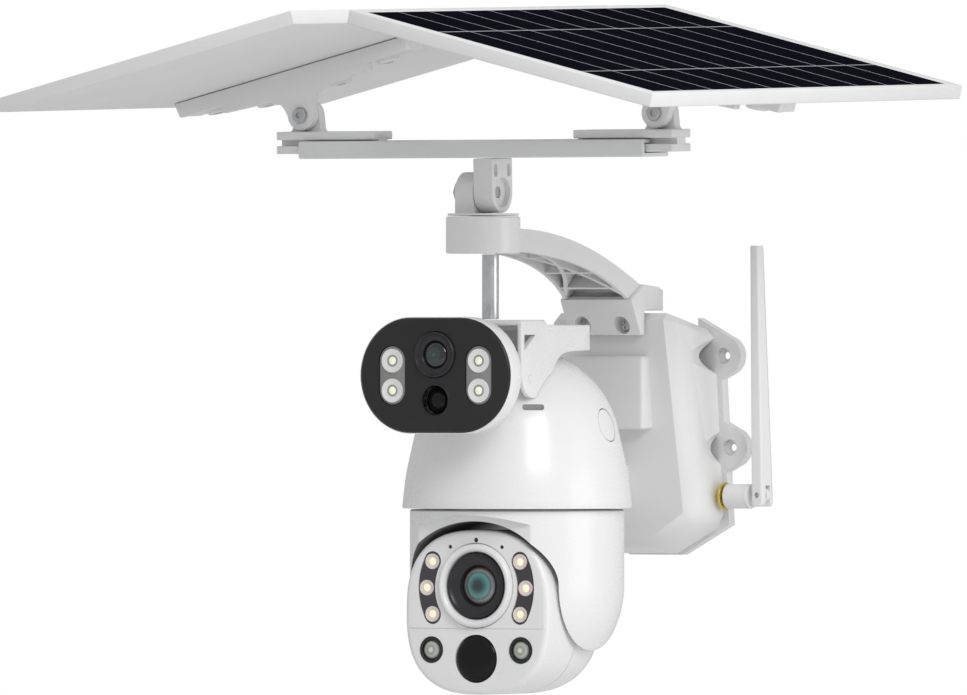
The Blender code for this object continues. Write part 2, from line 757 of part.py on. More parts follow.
upper_body = upper_loft(
    "upper_housing",
    [
        (UPPER_Y + 0.0008, 0.0004),
        (UPPER_Y + 0.0016, 0),
        (-0.2405, 0),
        (-0.2380, 0.0020),
        (-0.2370, 0.0100),
        (-0.2225, 0.0112),
    ],
    WHITE,
)
for side in (-1, 1):
    start, end = sorted((side * 0.0240, side * 0.0297))
    join(upper_body, box(f"upper_arm_{side}", (start, -0.2300, 0.0312), (end, -0.2045, 0.0408)))
    join(
        upper_body,
        cylinder(f"upper_lug_{side}", 0.0048, (start, *UPPER_PIVOT), (end, *UPPER_PIVOT), sides=18),
    )
    cut(
        upper_body,
        cylinder(
            f"upper_hole_{side}",
            0.0026,
            (side * 0.018, *UPPER_PIVOT),
            (side * 0.035, *UPPER_PIVOT),
            sides=14,
        ),
    )
cut(
    upper_body,
    upper_loft(
        "upper_hollow",
        [
            (UPPER_Y - 0.002, 0.0009 - GAP),
            (UPPER_Y + 0.0028, 0.0009 - GAP),
            (UPPER_Y + 0.0029, 0.0034),
            (-0.2400, 0.0034),
            (-0.2398, 0.0130),
            (-0.2245, 0.0135),
        ],
    ),
)
upper_face = upper_loft(
    "upper_faceplate", [(UPPER_Y, 0.0014), (UPPER_Y + 0.0006, 0.0009), (UPPER_Y + 0.0024, 0.0009)], BLACK
)
upper_lens_z = UPPER_Z + 0.0113
upper_pir_z = UPPER_Z - 0.0137
cut(
    upper_face,
    cylinder(
        "upper_lens_seat",
        0.0128,
        (0, UPPER_Y - 0.01, upper_lens_z),
        (0, UPPER_Y + 0.01, upper_lens_z),
        sides=36,
    ),
)
cut(
    upper_face,
    cylinder(
        "upper_pir_seat",
        0.0082,
        (0, UPPER_Y - 0.01, upper_pir_z),
        (0, UPPER_Y + 0.01, upper_pir_z),
        sides=20,
    ),
)
upper_tube = cylinder(
    "upper_lens_barrel",
    0.0125,
    (0, UPPER_Y - 0.0012, upper_lens_z),
    (0, UPPER_Y + 0.0090, upper_lens_z),
    BLACK,
    36,
)
cut(
    upper_tube,
    cylinder(
        "upper_lens_bore",
        0.0090,
        (0, UPPER_Y - 0.01, upper_lens_z),
        (0, UPPER_Y + 0.0045, upper_lens_z),
        sides=36,
    ),
)
upper_glass = cylinder(
    "upper_lens", 0.0086, (0, UPPER_Y + 0.0012, upper_lens_z), (0, UPPER_Y + 0.0040, upper_lens_z), GLASS, 28
)
upper_pir = turned(
    "upper_motion_sensor",
    arc((0, 0), 0.0078, 90, 0, 5) + [(0.0078, -0.0060), (0, -0.0060)],
    (0, 0, 0),
    BLACK,
    20,
)
upper_pir.rotation_euler.x = math.radians(90)
upper_pir.location = (0, UPPER_Y + 0.0040, upper_pir_z)
carry(upper, upper_body, upper_face, upper_tube, upper_glass, upper_pir)
for side, word in ((-1, "left"), (1, "right")):
    outline = stadium(0.0163, 0.0083)
    seat = [(side * 0.0272 + b, UPPER_Z + a) for a, b in outline]
    cut(upper_face, slab(f"upper_led_seat_{word}", seat, UPPER_Y - 0.01, UPPER_Y + 0.01, "XZ"))
    lamp = [(side * 0.0272 + b * 0.95, UPPER_Z + a * 0.975) for a, b in outline]
    carry(upper, slab(f"upper_led_{word}", lamp, UPPER_Y + 0.0006, UPPER_Y + 0.0024, "XZ", LAMP))

# Yoke: a capsule with an arch cut through it, which pans under the dome
pan = pivot("pan_turn", (0, DOME_Y, YOKE_TOP_Z))
capsule = [(0, YOKE_TOP_Z), (YOKE_R, YOKE_TOP_Z)] + arc((0, YOKE_ROUND_Z), YOKE_R, 0, -90, 8)
capsule[-1] = (0, capsule[-1][1])
yoke = turned("yoke", capsule, (0, DOME_Y, 0), WHITE, 40)
arch = [(YOKE_INSIDE, -0.150)]
arch += [(YOKE_INSIDE * c, YOKE_ROUND_Z + YOKE_ARCH * s) for c, s in arc((0, 0), 1, 0, 180, 16)]
arch += [(-YOKE_INSIDE, -0.150)]
cut(yoke, slab("yoke_arch", arch, DOME_Y - 0.08, DOME_Y + 0.08, "XZ"))
facet = [(0.0500, -0.150)] + arc((0, -0.1531), 0.1146, 64, 116, 12) + [(-0.0500, -0.150)]
cut(yoke, slab("yoke_front", facet, DOME_Y - 0.09, DOME_Y - 0.0470, "XZ"))
cut(
    yoke,
    box(
        "motor_pocket", (0.040, DOME_Y - 0.0115, TILT_Z - 0.0075), (0.0520, DOME_Y + 0.0115, TILT_Z + 0.0225)
    ),
)
cut(yoke, cylinder("yoke_bearing", 0.0046, (-0.0540, DOME_Y, TILT_Z), (-0.040, DOME_Y, TILT_Z), sides=18))
tilt_motor = box(
    "tilt_motor",
    (0.0475, DOME_Y - 0.0110, TILT_Z - 0.0070),
    (0.0515, DOME_Y + 0.0110, TILT_Z + 0.0220),
    STEEL,
)
cut(
    tilt_motor,
    cylinder("motor_shaft_hole", 0.0044, (0.040, DOME_Y, TILT_Z), (0.0505, DOME_Y, TILT_Z), sides=18),
)
join(yoke, cylinder("pan_shaft", 0.0060, (0, DOME_Y, YOKE_TOP_Z - 0.002), (0, DOME_Y, -0.0282), sides=14))
carry(pan, yoke, tilt_motor)

# Camera head between the yoke's arms
tilt = pivot("head_nod", (0, DOME_Y, TILT_Z), (0, 0, 0), pan)


def head_section(y, inset):
    """The head's outline at y: full up to the tilt axis, and closing like a ball behind it."""
    beyond = max(0.0, y - DOME_Y)
    shrink = math.sqrt(max(0.0, 1 - (beyond / (HEAD_BACK - inset)) ** 2))
    return [
        (x * shrink, y, TILT_Z + (z - TILT_Z) * shrink)
        for x, z in superellipse(HEAD_R - inset, HEAD_POWER, TILT_Z)
    ]


def head_loft(name, stations, look=None):
    return loft(name, [head_section(y, inset) for y, inset in stations], look)


ball = [DOME_Y + HEAD_BACK * math.sin(math.radians(a)) for a in (0, 20, 38, 54, 68, 80)]
hollow_ball = [DOME_Y + (HEAD_BACK - WALL) * math.sin(math.radians(a)) for a in (0, 28, 52, 74)]
face = head_loft(
    "head_front",
    [(FACE_Y, 0.0022), (FACE_Y + 0.0008, 0.0009), (FACE_Y + 0.0024, 0), (HEAD_SPLIT_Y, 0)],
    WHITE,
)
cut(face, head_loft("face_hollow", [(FACE_Y + WALL, 0.0036), (HEAD_SPLIT_Y + 0.005, 0.0025)]))
rear = head_loft("head_rear", [(HEAD_SPLIT_Y + GAP, 0)] + [(y, 0) for y in ball], WHITE)
cut(rear, head_loft("rear_hollow", [(HEAD_SPLIT_Y - 0.005, WALL)] + [(y, WALL) for y in hollow_ball]))
for side in (-1, 1):
    join(
        rear,
        cylinder(
            f"head_axle_{side}",
            0.0040,
            (side * 0.0415, DOME_Y, TILT_Z),
            (side * 0.0505, DOME_Y, TILT_Z),
            sides=18,
        ),
    )

head_tube = cylinder(
    "head_lens_barrel", 0.0248, (0, FACE_Y - 0.0032, LENS_Z), (0, FACE_Y + 0.0120, LENS_Z), WHITE, 36, 0.0240
)
cut(
    face,
    cylinder("head_lens_seat", 0.0252, (0, FACE_Y - 0.01, LENS_Z), (0, FACE_Y + 0.01, LENS_Z), sides=36),
)
cut(
    head_tube,
    cylinder("head_lens_bore", 0.0182, (0, FACE_Y - 0.01, LENS_Z), (0, FACE_Y + 0.0080, LENS_Z), sides=24),
)
head_ring = cylinder(
    "head_lens_ring", 0.0178, (0, FACE_Y - 0.0010, LENS_Z), (0, FACE_Y + 0.0076, LENS_Z), BLACK, 32
)
cut(
    head_ring,
    cylinder("head_ring_bore", 0.0112, (0, FACE_Y - 0.01, LENS_Z), (0, FACE_Y + 0.0058, LENS_Z), 0, 36),
)
head_glass = cylinder(
    "head_lens", 0.0108, (0, FACE_Y + 0.0016, LENS_Z), (0, FACE_Y + 0.0054, LENS_Z), GLASS, 24
)
head_pir = turned(
    "head_motion_sensor",
    arc((0, 0), 0.0128, 90, 20, 5) + [(0.0126, -0.0040), (0, -0.0040)],
    (0, 0, 0),
    BLACK,
    24,
)
head_pir.rotation_euler.x = math.radians(90)
head_pir.location = (0, FACE_Y + 0.0065, PIR_Z)
cut(face, cylinder("head_pir_seat", 0.0132, (0, FACE_Y - 0.01, PIR_Z), (0, FACE_Y + 0.01, PIR_Z), sides=36))
carry(tilt, face, rear, head_tube, head_ring, head_glass, head_pir)
spot_x, spot_z = SPOT


def banana(side, half, spread):
    """A curved window beside the lens."""
    outer = arc((0, LED_ARC_Z), LED_ARC_R + half, -spread, spread, 8)
    end_x, rise = arc((0, 0), LED_ARC_R, spread, spread, 1)[0]
    top = arc((end_x, LED_ARC_Z + rise), half, spread, spread + 180, 5)[1:-1]
    inner = arc((0, LED_ARC_Z), LED_ARC_R - half, spread, -spread, 8)
    low = arc((end_x, LED_ARC_Z - rise), half, 180 - spread, 360 - spread, 5)[1:-1]
    return [(side * x, z) for x, z in outer + top + inner + low]


for side, word in ((-1, "left"), (1, "right")):
    cut(face, slab(f"head_led_seat_{word}", banana(side, 0.0053, 28), FACE_Y - 0.01, FACE_Y + 0.01, "XZ"))
    led = slab(f"head_led_{word}", banana(side, 0.0050, 28), FACE_Y + 0.0003, FACE_Y + 0.0022, "XZ", LAMP)
    cut(
        face,
        cylinder(
            f"head_spot_seat_{word}",
            0.0073,
            (side * spot_x, FACE_Y - 0.01, spot_z),
            (side * spot_x, FACE_Y + 0.01, spot_z),
            sides=20,
        ),
    )
    spot = cylinder(
        f"head_spot_{word}",
        0.0070,
        (side * spot_x, FACE_Y - 0.0003, spot_z),
        (side * spot_x, FACE_Y + 0.0050, spot_z),
        LAMP,
        28,
    )
    carry(tilt, led, spot)

# Antenna: a barrel that turns on the connector, and a blade that folds on the barrel
antenna = pivot("antenna_swivel", (0, sma_y, sma_z))
barrel = cylinder("antenna_barrel", 0.0068, (0.0508, sma_y, sma_z), (0.0662, sma_y, sma_z), WHITE, 32)
cut(barrel, cylinder("antenna_socket", 0.0034, (0.0500, sma_y, sma_z), (0.0570, sma_y, sma_z), sides=18))
elbow_x, elbow_z = ELBOW
join(
    barrel,
    box(
        "antenna_neck",
        (0.0655, sma_y - 0.0020, elbow_z - 0.0062),
        (0.0686, sma_y + 0.0020, elbow_z + 0.0055),
    ),
)
join(
    barrel,
    box(
        "antenna_tongue",
        (0.0670, sma_y - 0.0020, elbow_z - 0.0040),
        (elbow_x, sma_y + 0.0020, elbow_z + 0.0040),
    ),
)
join(
    barrel,
    cylinder(
        "antenna_knuckle",
        0.0040,
        (elbow_x, sma_y - 0.0020, elbow_z),
        (elbow_x, sma_y + 0.0020, elbow_z),
        sides=18,
    ),
)
carry(antenna, barrel)
fold = pivot("antenna_fold", (elbow_x, sma_y, elbow_z), (0, 0, 0), antenna)
blade_low = elbow_z - 0.0063
blade_stations = [
    (blade_low + BLADE_CORNER - rise, 0.0035 - BLADE_CORNER + out, 0.0066, 0)
    for out, rise in arc((0, 0), BLADE_CORNER, 90, 0, 3)
]
blade_stations += [(0.020, 0.0032, 0.0055, -0.0024), (BLADE_TOP_Z, 0.0026, 0.0036, -0.0064)]
blade_rings = []
for z, half, deep, lean in blade_stations:
    corners = ((-half, -deep), (half, -deep), (half, deep), (-half, deep))
    blade_rings.append([(elbow_x + x, sma_y + lean + y, z) for x, y in corners])
blade = loft("antenna_blade", blade_rings, WHITE)
cut(
    blade,
    box(
        "blade_slot",
        (elbow_x - 0.01, sma_y - 0.0024, blade_low - 0.01),
        (elbow_x + 0.01, sma_y + 0.0024, elbow_z + 0.0054),
    ),
)
pin = cylinder(
    "antenna_pin", 0.0011, (elbow_x, sma_y - 0.0062, elbow_z), (elbow_x, sma_y + 0.0062, elbow_z), STEEL, 16
)
pin_hole = cylinder(
    "antenna_pin_hole", 0.0014, (elbow_x, sma_y - 0.02, elbow_z), (elbow_x, sma_y + 0.02, elbow_z), sides=16
)
cut(blade, pin_hole)
cut(barrel, pin_hole)
carry(antenna, pin)
carry(fold, blade)
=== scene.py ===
"""Solar-powered twin camera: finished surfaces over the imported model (metres, +Z up)."""

import math

import bmesh
import bpy
from mathutils import Matrix, Vector


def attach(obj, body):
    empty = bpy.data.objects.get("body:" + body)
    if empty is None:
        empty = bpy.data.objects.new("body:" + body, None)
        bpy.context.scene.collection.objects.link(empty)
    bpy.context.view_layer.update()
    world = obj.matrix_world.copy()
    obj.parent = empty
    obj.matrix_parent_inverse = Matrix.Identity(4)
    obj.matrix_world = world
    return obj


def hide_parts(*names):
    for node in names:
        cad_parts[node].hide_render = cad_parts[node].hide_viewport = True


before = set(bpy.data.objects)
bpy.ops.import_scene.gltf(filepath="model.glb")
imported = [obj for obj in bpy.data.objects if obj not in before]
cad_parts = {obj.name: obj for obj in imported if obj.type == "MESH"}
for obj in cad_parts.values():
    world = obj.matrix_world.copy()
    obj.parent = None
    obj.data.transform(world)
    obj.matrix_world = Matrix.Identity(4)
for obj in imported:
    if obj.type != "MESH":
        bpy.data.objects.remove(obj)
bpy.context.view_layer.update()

# Dimensions shared with the model
GAP = 0.0004
WALL = 0.0025
MAST_Y = -0.199
MAST_HINGE_Z = 0.138
HEAD_PITCH = math.radians(1.41)
COLLAR_R = 0.0204
COLLAR_Z = (0.1045, 0.1249)
LUG_T = 0.0116
LUG_R = 0.0112
BAR = (0.2178, 0.0292, 0.0097)
BAR_Z = 0.1571
BAR_TOP = BAR_Z + BAR[2]
SLIDER_X = 0.094
SLIDER = (0.062, 0.021)
PANEL_X, PANEL_Z = 0.1119, 0.181
KNUCKLE_R = 0.0083
KNUCKLE_T = 0.0064
PANEL = (0.193, 0.3466, 0.0078)
PANEL_TOP = 0.0342
PANEL_SHIFT = 0.0085
PANEL_TILT = math.radians(13.93)
DOME_Y = -0.1617
DOME_R = 0.0569
DOME_CENTRE_Z = -0.0037
DOME_SIDE = [(0.0566, 0.004), (0.0579, -0.002), (0.0592, -0.0078), (0.0601, -0.0118), (0.0608, -0.0155)]
DOME_SIDE += [(0.0615, -0.0198), (0.062, -0.024), (0.0627, -0.03)]
SKIRT_R = 0.0632
SKIRT_Z = -0.0352
YOKE_R = 0.0589
YOKE_TOP_Z = -0.0358
YOKE_ROUND_Z = -0.0773
YOKE_INSIDE = 0.04675
YOKE_ARCH = 0.0353
TILT_Z = -0.0919
HEAD_R = 0.0451
HEAD_BACK = 0.0465
HEAD_SPLIT_Y = DOME_Y - 0.012
FACE_Y = DOME_Y - 0.0451
HEAD_POWER = 2.6
LENS_Z = -0.0773
LED_ARC_R = 0.0312
LED_ARC_Z = -0.0785
PIR_Z = -0.1173
SPOT = (0.0282, -0.1125)
UPPER_Y = -0.2517
UPPER_Z = 0.0379
UPPER = (0.0469, 0.031)
UPPER_LAMP_X = 0.0272
UPPER_PIVOT = (-0.2045, 0.036)
CHEEK_X = (0.0303, 0.0333)
SMA = (0.0475, -0.0154, -0.0295)
ELBOW = (0.0728, -0.0288)
BLADE_TOP_Z = 0.1095

looks = bpy.data.collections.new("looks")
bpy.context.scene.collection.children.link(looks)


# Mesh helpers
def add(name, bm, at=(0, 0, 0)):
    bmesh.ops.recalc_face_normals(bm, faces=bm.faces)
    mesh = bpy.data.meshes.new(name)
    bm.to_mesh(mesh)
    bm.free()
    obj = bpy.data.objects.new(name, mesh)
    obj.location = at
    looks.objects.link(obj)
    return obj


def box(name, low, high, soft=0, segments=3):
    """A block, with its edges rounded by soft."""
    bm = bmesh.new()
    bmesh.ops.create_cube(bm, size=1)
    bmesh.ops.scale(bm, vec=Vector(high) - Vector(low), verts=bm.verts)
    bmesh.ops.translate(bm, vec=(Vector(high) + Vector(low)) / 2, verts=bm.verts)
    if soft:
        bmesh.ops.bevel(bm, geom=bm.edges, offset=soft, segments=segments, profile=0.5, affect="EDGES")
    return add(name, bm)


def cylinder(name, radius, start, end, sides=64, radius_end=None, soft=0):
    start = Vector(start)
    along = Vector(end) - start
    bm = bmesh.new()
    far = radius if radius_end is None else radius_end
    bmesh.ops.create_cone(bm, cap_ends=True, segments=sides, depth=along.length, radius1=radius, radius2=far)
    if soft:
        rims = [e for e in bm.edges if abs(e.verts[0].co.z - e.verts[1].co.z) < 1e-7]
        bmesh.ops.bevel(bm, geom=rims, offset=soft, segments=3, profile=0.5, affect="EDGES")
    turn = Vector((0, 0, 1)).rotation_difference(along.normalized()).to_matrix().to_4x4()
    bmesh.ops.transform(bm, matrix=Matrix.Translation(start + along / 2) @ turn, verts=bm.verts)
    return add(name, bm)


def across(name, radius, start, end, at, *rest, **more):
    """A cylinder along X, about the point (y, z)."""
    return cylinder(name, radius, (start, *at), (end, *at), *rest, **more)


def forward(name, radius, start, end, at, *rest, **more):
    """A cylinder along Y, about the point (x, z)."""
    x, z = at
    return cylinder(name, radius, (x, start, z), (x, end, z), *rest, **more)


def upward(name, radius, start, end, at, *rest, **more):
    """A cylinder along Z, about the point (x, y)."""
    return cylinder(name, radius, (*at, start), (*at, end), *rest, **more)


def turned(name, profile, at=(0, 0, 0), sides=96, face_forward=False):
    """A profile of (radius, height) points turned about Z, or about Y with height counted forward."""
    bm = bmesh.new()
    verts = [bm.verts.new((r, 0, z)) for r, z in profile]
    for first, second in zip(verts, verts[1:]):
        bm.edges.new((first, second))
    bmesh.ops.spin(
        bm, geom=bm.verts[:] + bm.edges[:], cent=(0, 0, 0), axis=(0, 0, 1), angle=2 * math.pi, steps=sides
    )
    bmesh.ops.remove_doubles(bm, verts=bm.verts, dist=1e-6)
    move = Matrix.Translation(at)
    if face_forward:
        move = move @ Matrix.Rotation(math.radians(90), 4, "X")
    bmesh.ops.transform(bm, matrix=move, verts=bm.verts)
    return add(name, bm)


def loft(name, rings):
    bm = bmesh.new()
    rows = [[bm.verts.new(p) for p in ring] for ring in rings]
    count = len(rows[0])
    for low, high in zip(rows, rows[1:]):
        for i in range(count):
            j = (i + 1) % count
            bm.faces.new((low[i], low[j], high[j], high[i]))
    bm.faces.new(rows[0])
    bm.faces.new(rows[-1])
    return add(name, bm)


def slab(name, outline, low, high, plane, soft=0):
    """An outline in the XZ or YZ plane given thickness, with its two rims rounded by soft."""
    point = {"XZ": lambda a, b, d: (a, d, b), "YZ": lambda a, b, d: (d, a, b)}[plane]
    obj = loft(name, [[point(a, b, depth) for a, b in outline] for depth in (low, high)])
    if soft:
        bm = bmesh.new()
        bm.from_mesh(obj.data)
        axis = {"XZ": 1, "YZ": 0}[plane]
        rims = [e for e in bm.edges if abs(e.verts[0].co[axis] - e.verts[1].co[axis]) < 1e-7]
        bmesh.ops.bevel(bm, geom=rims, offset=soft, segments=2, profile=0.5, affect="EDGES")
        bm.to_mesh(obj.data)
        bm.free()
    return obj


def arc(centre, radius, start, end, steps=24):
    angles = [math.radians(start + (end - start) * i / steps) for i in range(steps + 1)]
    return [(centre[0] + radius * math.cos(a), centre[1] + radius * math.sin(a)) for a in angles]


def stadium(half_width, half_height, centre=(0, 0), steps=24):
    reach = half_width - half_height
    right = arc((centre[0] + reach, centre[1]), half_height, -90, 90, steps)
    left = arc((centre[0] - reach, centre[1]), half_height, 90, 270, steps)
    return right + left


def superellipse(radius, power, centre_z, steps=96):
    points = []
    for i in range(steps):
        a = 2 * math.pi * i / steps
        c, s = math.cos(a), math.sin(a)
        x = math.copysign(abs(c) ** (2 / power), c) * radius
        points.append((x, centre_z + math.copysign(abs(s) ** (2 / power), s) * radius))
    return points


def mirrored(outline):
    return outline + [(-x, z) for x, z in reversed(outline)]


def boolean(target, operation, *others):
    for other in others:
        mod = target.modifiers.new(operation.lower(), "BOOLEAN")
        mod.operation = operation
        mod.object = other
        mod.solver = "EXACT"
    return target


def cut(target, *others):
    return boolean(target, "DIFFERENCE", *others)


def join(target, *others):
    return boolean(target, "UNION", *others)


def bake(obj):
    """Applies the modifiers and removes the objects they used."""
    spent = [mod.object for mod in obj.modifiers if mod.type == "BOOLEAN"]
    for other in spent:
        bake(other)
    if obj.modifiers:
        graph = bpy.context.evaluated_depsgraph_get()
        mesh = bpy.data.meshes.new_from_object(obj.evaluated_get(graph))
        obj.modifiers.clear()
        obj.data = mesh
    for other in spent:
        bpy.data.objects.remove(other)


def about(point, rotation):
    return Matrix.Translation(point) @ rotation @ Matrix.Translation(-Vector(point))


HEAD_TURN = about((0, MAST_Y, MAST_HINGE_Z), Matrix.Rotation(HEAD_PITCH, 4, "X"))
PANEL_TURN = {}
for side in (-1, 1):
    tilt = Matrix.Rotation(side * PANEL_TILT, 4, "Y")
    PANEL_TURN[side] = HEAD_TURN @ about((side * PANEL_X, MAST_Y, PANEL_Z), tilt)


def place(obj, body, mats, nodes=(), turn=None, angle=32):
    """Finishes a piece: bakes it, gives it its materials, and hangs it on its body in its nodes' stead."""
    bake(obj)
    mesh = obj.data
    if turn:
        mesh.transform(turn)
    mats = mats if isinstance(mats, (list, tuple)) else [mats]
    if len(mats) > 1:
        while len(mesh.materials) < len(mats):
            mesh.materials.append(None)
        for i, mat in enumerate(mats):
            mesh.materials[i] = mat
    else:
        mesh.materials.clear()
        mesh.materials.append(mats[0])
        mesh.polygons.foreach_set("material_index", [0] * len(mesh.polygons))
    mesh.shade_smooth()
    mesh.set_sharp_from_angle(angle=math.radians(angle))
    if nodes:
        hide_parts(*([nodes] if isinstance(nodes, str) else nodes))
    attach(obj, body)
    return obj


# Materials, all built from nodes on the pieces' own coordinates
def shader(name, colour, rough, metal=0.0, coat=0.0):
    mat = bpy.data.materials.new(name)
    mat.use_nodes = True
    tree = mat.node_tree
    bsdf = tree.nodes["Principled BSDF"]
    bsdf.inputs["Base Color"].default_value = (*colour, 1)
    bsdf.inputs["Roughness"].default_value = rough
    bsdf.inputs["Metallic"].default_value = metal
    bsdf.inputs["Coat Weight"].default_value = coat
    bsdf.inputs["Coat Roughness"].default_value = 0.06
    return mat, tree, bsdf


def node(tree, kind, **values):
    made = tree.nodes.new(kind)
    for key, value in values.items():
        if key in made.inputs.keys():
            made.inputs[key].default_value = value
        else:
            setattr(made, key, value)
    return made


def coordinates(tree, scale=(1, 1, 1)):
    where = node(tree, "ShaderNodeTexCoord")
    mapping = node(tree, "ShaderNodeMapping")
    mapping.inputs["Scale"].default_value = scale
    tree.links.new(where.outputs["Object"], mapping.inputs["Vector"])
    return mapping.outputs["Vector"]


def noise(tree, vector, scale, detail=3.0, rough=0.55):
    made = node(tree, "ShaderNodeTexNoise", Scale=scale, Detail=detail, Roughness=rough)
    tree.links.new(vector, made.inputs["Vector"])
    return made.outputs["Fac"]


def spread(tree, value, low, high, start=0.3, end=0.7):
    made = node(tree, "ShaderNodeMapRange")
    for key, number in (("From Min", start), ("From Max", end), ("To Min", low), ("To Max", high)):
        made.inputs[key].default_value = number
    tree.links.new(value, made.inputs["Value"])
    return made.outputs["Result"]


def blend_colour(tree, factor, first, second):
    """A mix of two colours, the first of which may be another node's."""
    made = node(tree, "ShaderNodeMix", data_type="RGBA")
    made.inputs[7].default_value = (*second, 1)
    if isinstance(first, tuple):
        made.inputs[6].default_value = (*first, 1)
    else:
        tree.links.new(first, made.inputs[6])
    tree.links.new(factor, made.inputs["Factor"])
    return made.outputs[2]


def relief(tree, bsdf, height, strength, distance, normal=None):
    """Fine relief on a surface, over its own normal or a softened one."""
    made = node(tree, "ShaderNodeBump", Strength=strength, Distance=distance)
    tree.links.new(height, made.inputs["Height"])
    if normal:
        tree.links.new(normal, made.inputs["Normal"])
    tree.links.new(made.outputs["Normal"], bsdf.inputs["Normal"])


def tone(colour, gain):
    return tuple(min(1.0, c * gain) for c in colour)


def moulded(
    name, colour, rough=0.42, grain=4200.0, bump=0.05, soft=0.0004, coat=0.0, uneven=0.02, shine=0.5
):
    """Moulded plastic: fine spark-eroded grain, uneven sheen, and softened edges with a painted highlight:
    they are painted lighter and given lower roughness.
    """
    mat, tree, bsdf = shader(name, colour, rough, coat=coat)
    bsdf.inputs["Specular IOR Level"].default_value = shine
    links = tree.links
    vector = coordinates(tree)
    soft_normal = node(tree, "ShaderNodeBevel", samples=4)
    soft_normal.inputs["Radius"].default_value = soft
    geometry = node(tree, "ShaderNodeNewGeometry")
    facing = node(tree, "ShaderNodeVectorMath", operation="DOT_PRODUCT")
    links.new(soft_normal.outputs["Normal"], facing.inputs[0])
    links.new(geometry.outputs["Normal"], facing.inputs[1])
    # Edge mask where the softened normal departs from the true one; it drives a painted edge highlight
    edge = spread(tree, facing.outputs["Value"], 1.0, 0.0, 0.72, 0.94)
    patch = spread(tree, noise(tree, vector, 22.0, 4.0), 0.0, 1.0)
    body = blend_colour(tree, patch, tone(colour, 1 - uneven), tone(colour, 1 + uneven * 0.6))
    # Painted highlight: edges are painted 6% lighter than the body colour
    links.new(blend_colour(tree, edge, body, tone(colour, 1.06)), bsdf.inputs["Base Color"])
    mottled = spread(tree, noise(tree, vector, 1500.0, 3.0), rough - 0.03, rough + 0.03)
    polish = node(tree, "ShaderNodeMath", operation="MULTIPLY_ADD")
    polish.inputs[1].default_value = -0.05
    links.new(edge, polish.inputs[0])
    links.new(mottled, polish.inputs[2])
    links.new(polish.outputs["Value"], bsdf.inputs["Roughness"])
    relief(tree, bsdf, noise(tree, vector, grain, 2.0), bump, 0.00008, soft_normal.outputs["Normal"])
    return mat


def metal(name, colour, rough, stretch=(1, 1, 1), bump=0.15, scale=500.0):
    """Turned or drawn metal: fine lines along one direction, with patches of duller skin."""
    mat, tree, bsdf = shader(name, colour, rough, metal=1.0)
    lines = noise(tree, coordinates(tree, stretch), scale, 4.0, 0.7)
    worn = spread(tree, noise(tree, coordinates(tree), 90.0, 3.0), 0.0, 1.0)
    tree.links.new(blend_colour(tree, worn, tone(colour, 0.86), colour), bsdf.inputs["Base Color"])
    tree.links.new(spread(tree, lines, rough - 0.08, rough + 0.12), bsdf.inputs["Roughness"])
    relief(tree, bsdf, lines, bump, 0.00008)
    return mat


def radial(name, centre, stops, rough, coat, glow=0.0):
    """A moulded or coated disc whose colour changes in rings about a point: stops of (radius, colour)."""
    mat, tree, bsdf = shader(name, stops[0][1], rough, coat=coat)
    links = tree.links
    where = node(tree, "ShaderNodeTexCoord")
    move = node(tree, "ShaderNodeVectorMath", operation="SUBTRACT")
    move.inputs[1].default_value = centre
    flat = node(tree, "ShaderNodeVectorMath", operation="MULTIPLY")
    flat.inputs[1].default_value = (1, 0, 1)
    reach = node(tree, "ShaderNodeVectorMath", operation="LENGTH")
    links.new(where.outputs["Object"], move.inputs[0])
    links.new(move.outputs["Vector"], flat.inputs[0])
    links.new(flat.outputs["Vector"], reach.inputs[0])
    most = stops[-1][0]
    ramp = node(tree, "ShaderNodeValToRGB")
    links.new(spread(tree, reach.outputs["Value"], 0.0, 1.0, 0.0, most), ramp.inputs["Fac"])
    points = ramp.color_ramp.elements
    while len(points) < len(stops):
        points.new(0.5)
    for point, (radius, colour) in zip(points, stops):
        point.position = radius / most
        point.color = (*colour, 1)
    dust = spread(tree, noise(tree, coordinates(tree), 420.0, 4.0), 0.9, 1.0)
    tint = node(tree, "ShaderNodeMix", data_type="RGBA", blend_type="MULTIPLY")
    tint.inputs["Factor"].default_value = 1.0
    links.new(ramp.outputs["Color"], tint.inputs[6])
    links.new(dust, tint.inputs[7])
    links.new(tint.outputs[2], bsdf.inputs["Base Color"])
    smear = spread(tree, noise(tree, coordinates(tree), 140.0, 3.0), max(0.02, rough - 0.03), rough + 0.06)
    links.new(smear, bsdf.inputs["Roughness"])
    if glow:
        links.new(tint.outputs[2], bsdf.inputs["Emission Color"])
        bsdf.inputs["Emission Strength"].default_value = glow
    relief(tree, bsdf, noise(tree, coordinates(tree), 900.0, 2.0), 0.04, 0.0001)
    return mat


white = moulded("white_plastic", (0.8, 0.8, 0.805), 0.44)
white_gloss = moulded("white_gloss_plastic", (0.86, 0.86, 0.865), 0.26, bump=0.02, coat=0.08, uneven=0.01)
panel_white = moulded("panel_plastic", (0.8, 0.8, 0.805), 0.46, grain=3400.0, bump=0.06)
bar_white = moulded("bar_coating", (0.76, 0.765, 0.77), 0.38, grain=2600.0, bump=0.08)
black = moulded("black_plastic", (0.024, 0.024, 0.025), 0.38, bump=0.05, uneven=0.08, shine=0.35)
black_gloss = moulded("black_gloss", (0.012, 0.012, 0.013), 0.14, bump=0.02, uneven=0.1, shine=0.16)
lens_black = moulded("lens_black", (0.028, 0.028, 0.031), 0.3, bump=0.04, uneven=0.1, shine=0.35)
pocket_grey = moulded("lamp_pocket", (0.27, 0.27, 0.275), 0.5, bump=0.1)
smoke = moulded("smoked_window", (0.045, 0.04, 0.05), 0.14, bump=0.02, coat=0.6, uneven=0.25)
steel = metal("steel", (0.74, 0.75, 0.76), 0.24, stretch=(1, 1, 0.03))
zinc = metal("zinc_plate", (0.6, 0.61, 0.62), 0.34)
brass = metal("gold_plate", (0.8, 0.62, 0.16), 0.26, stretch=(0.05, 1, 1))
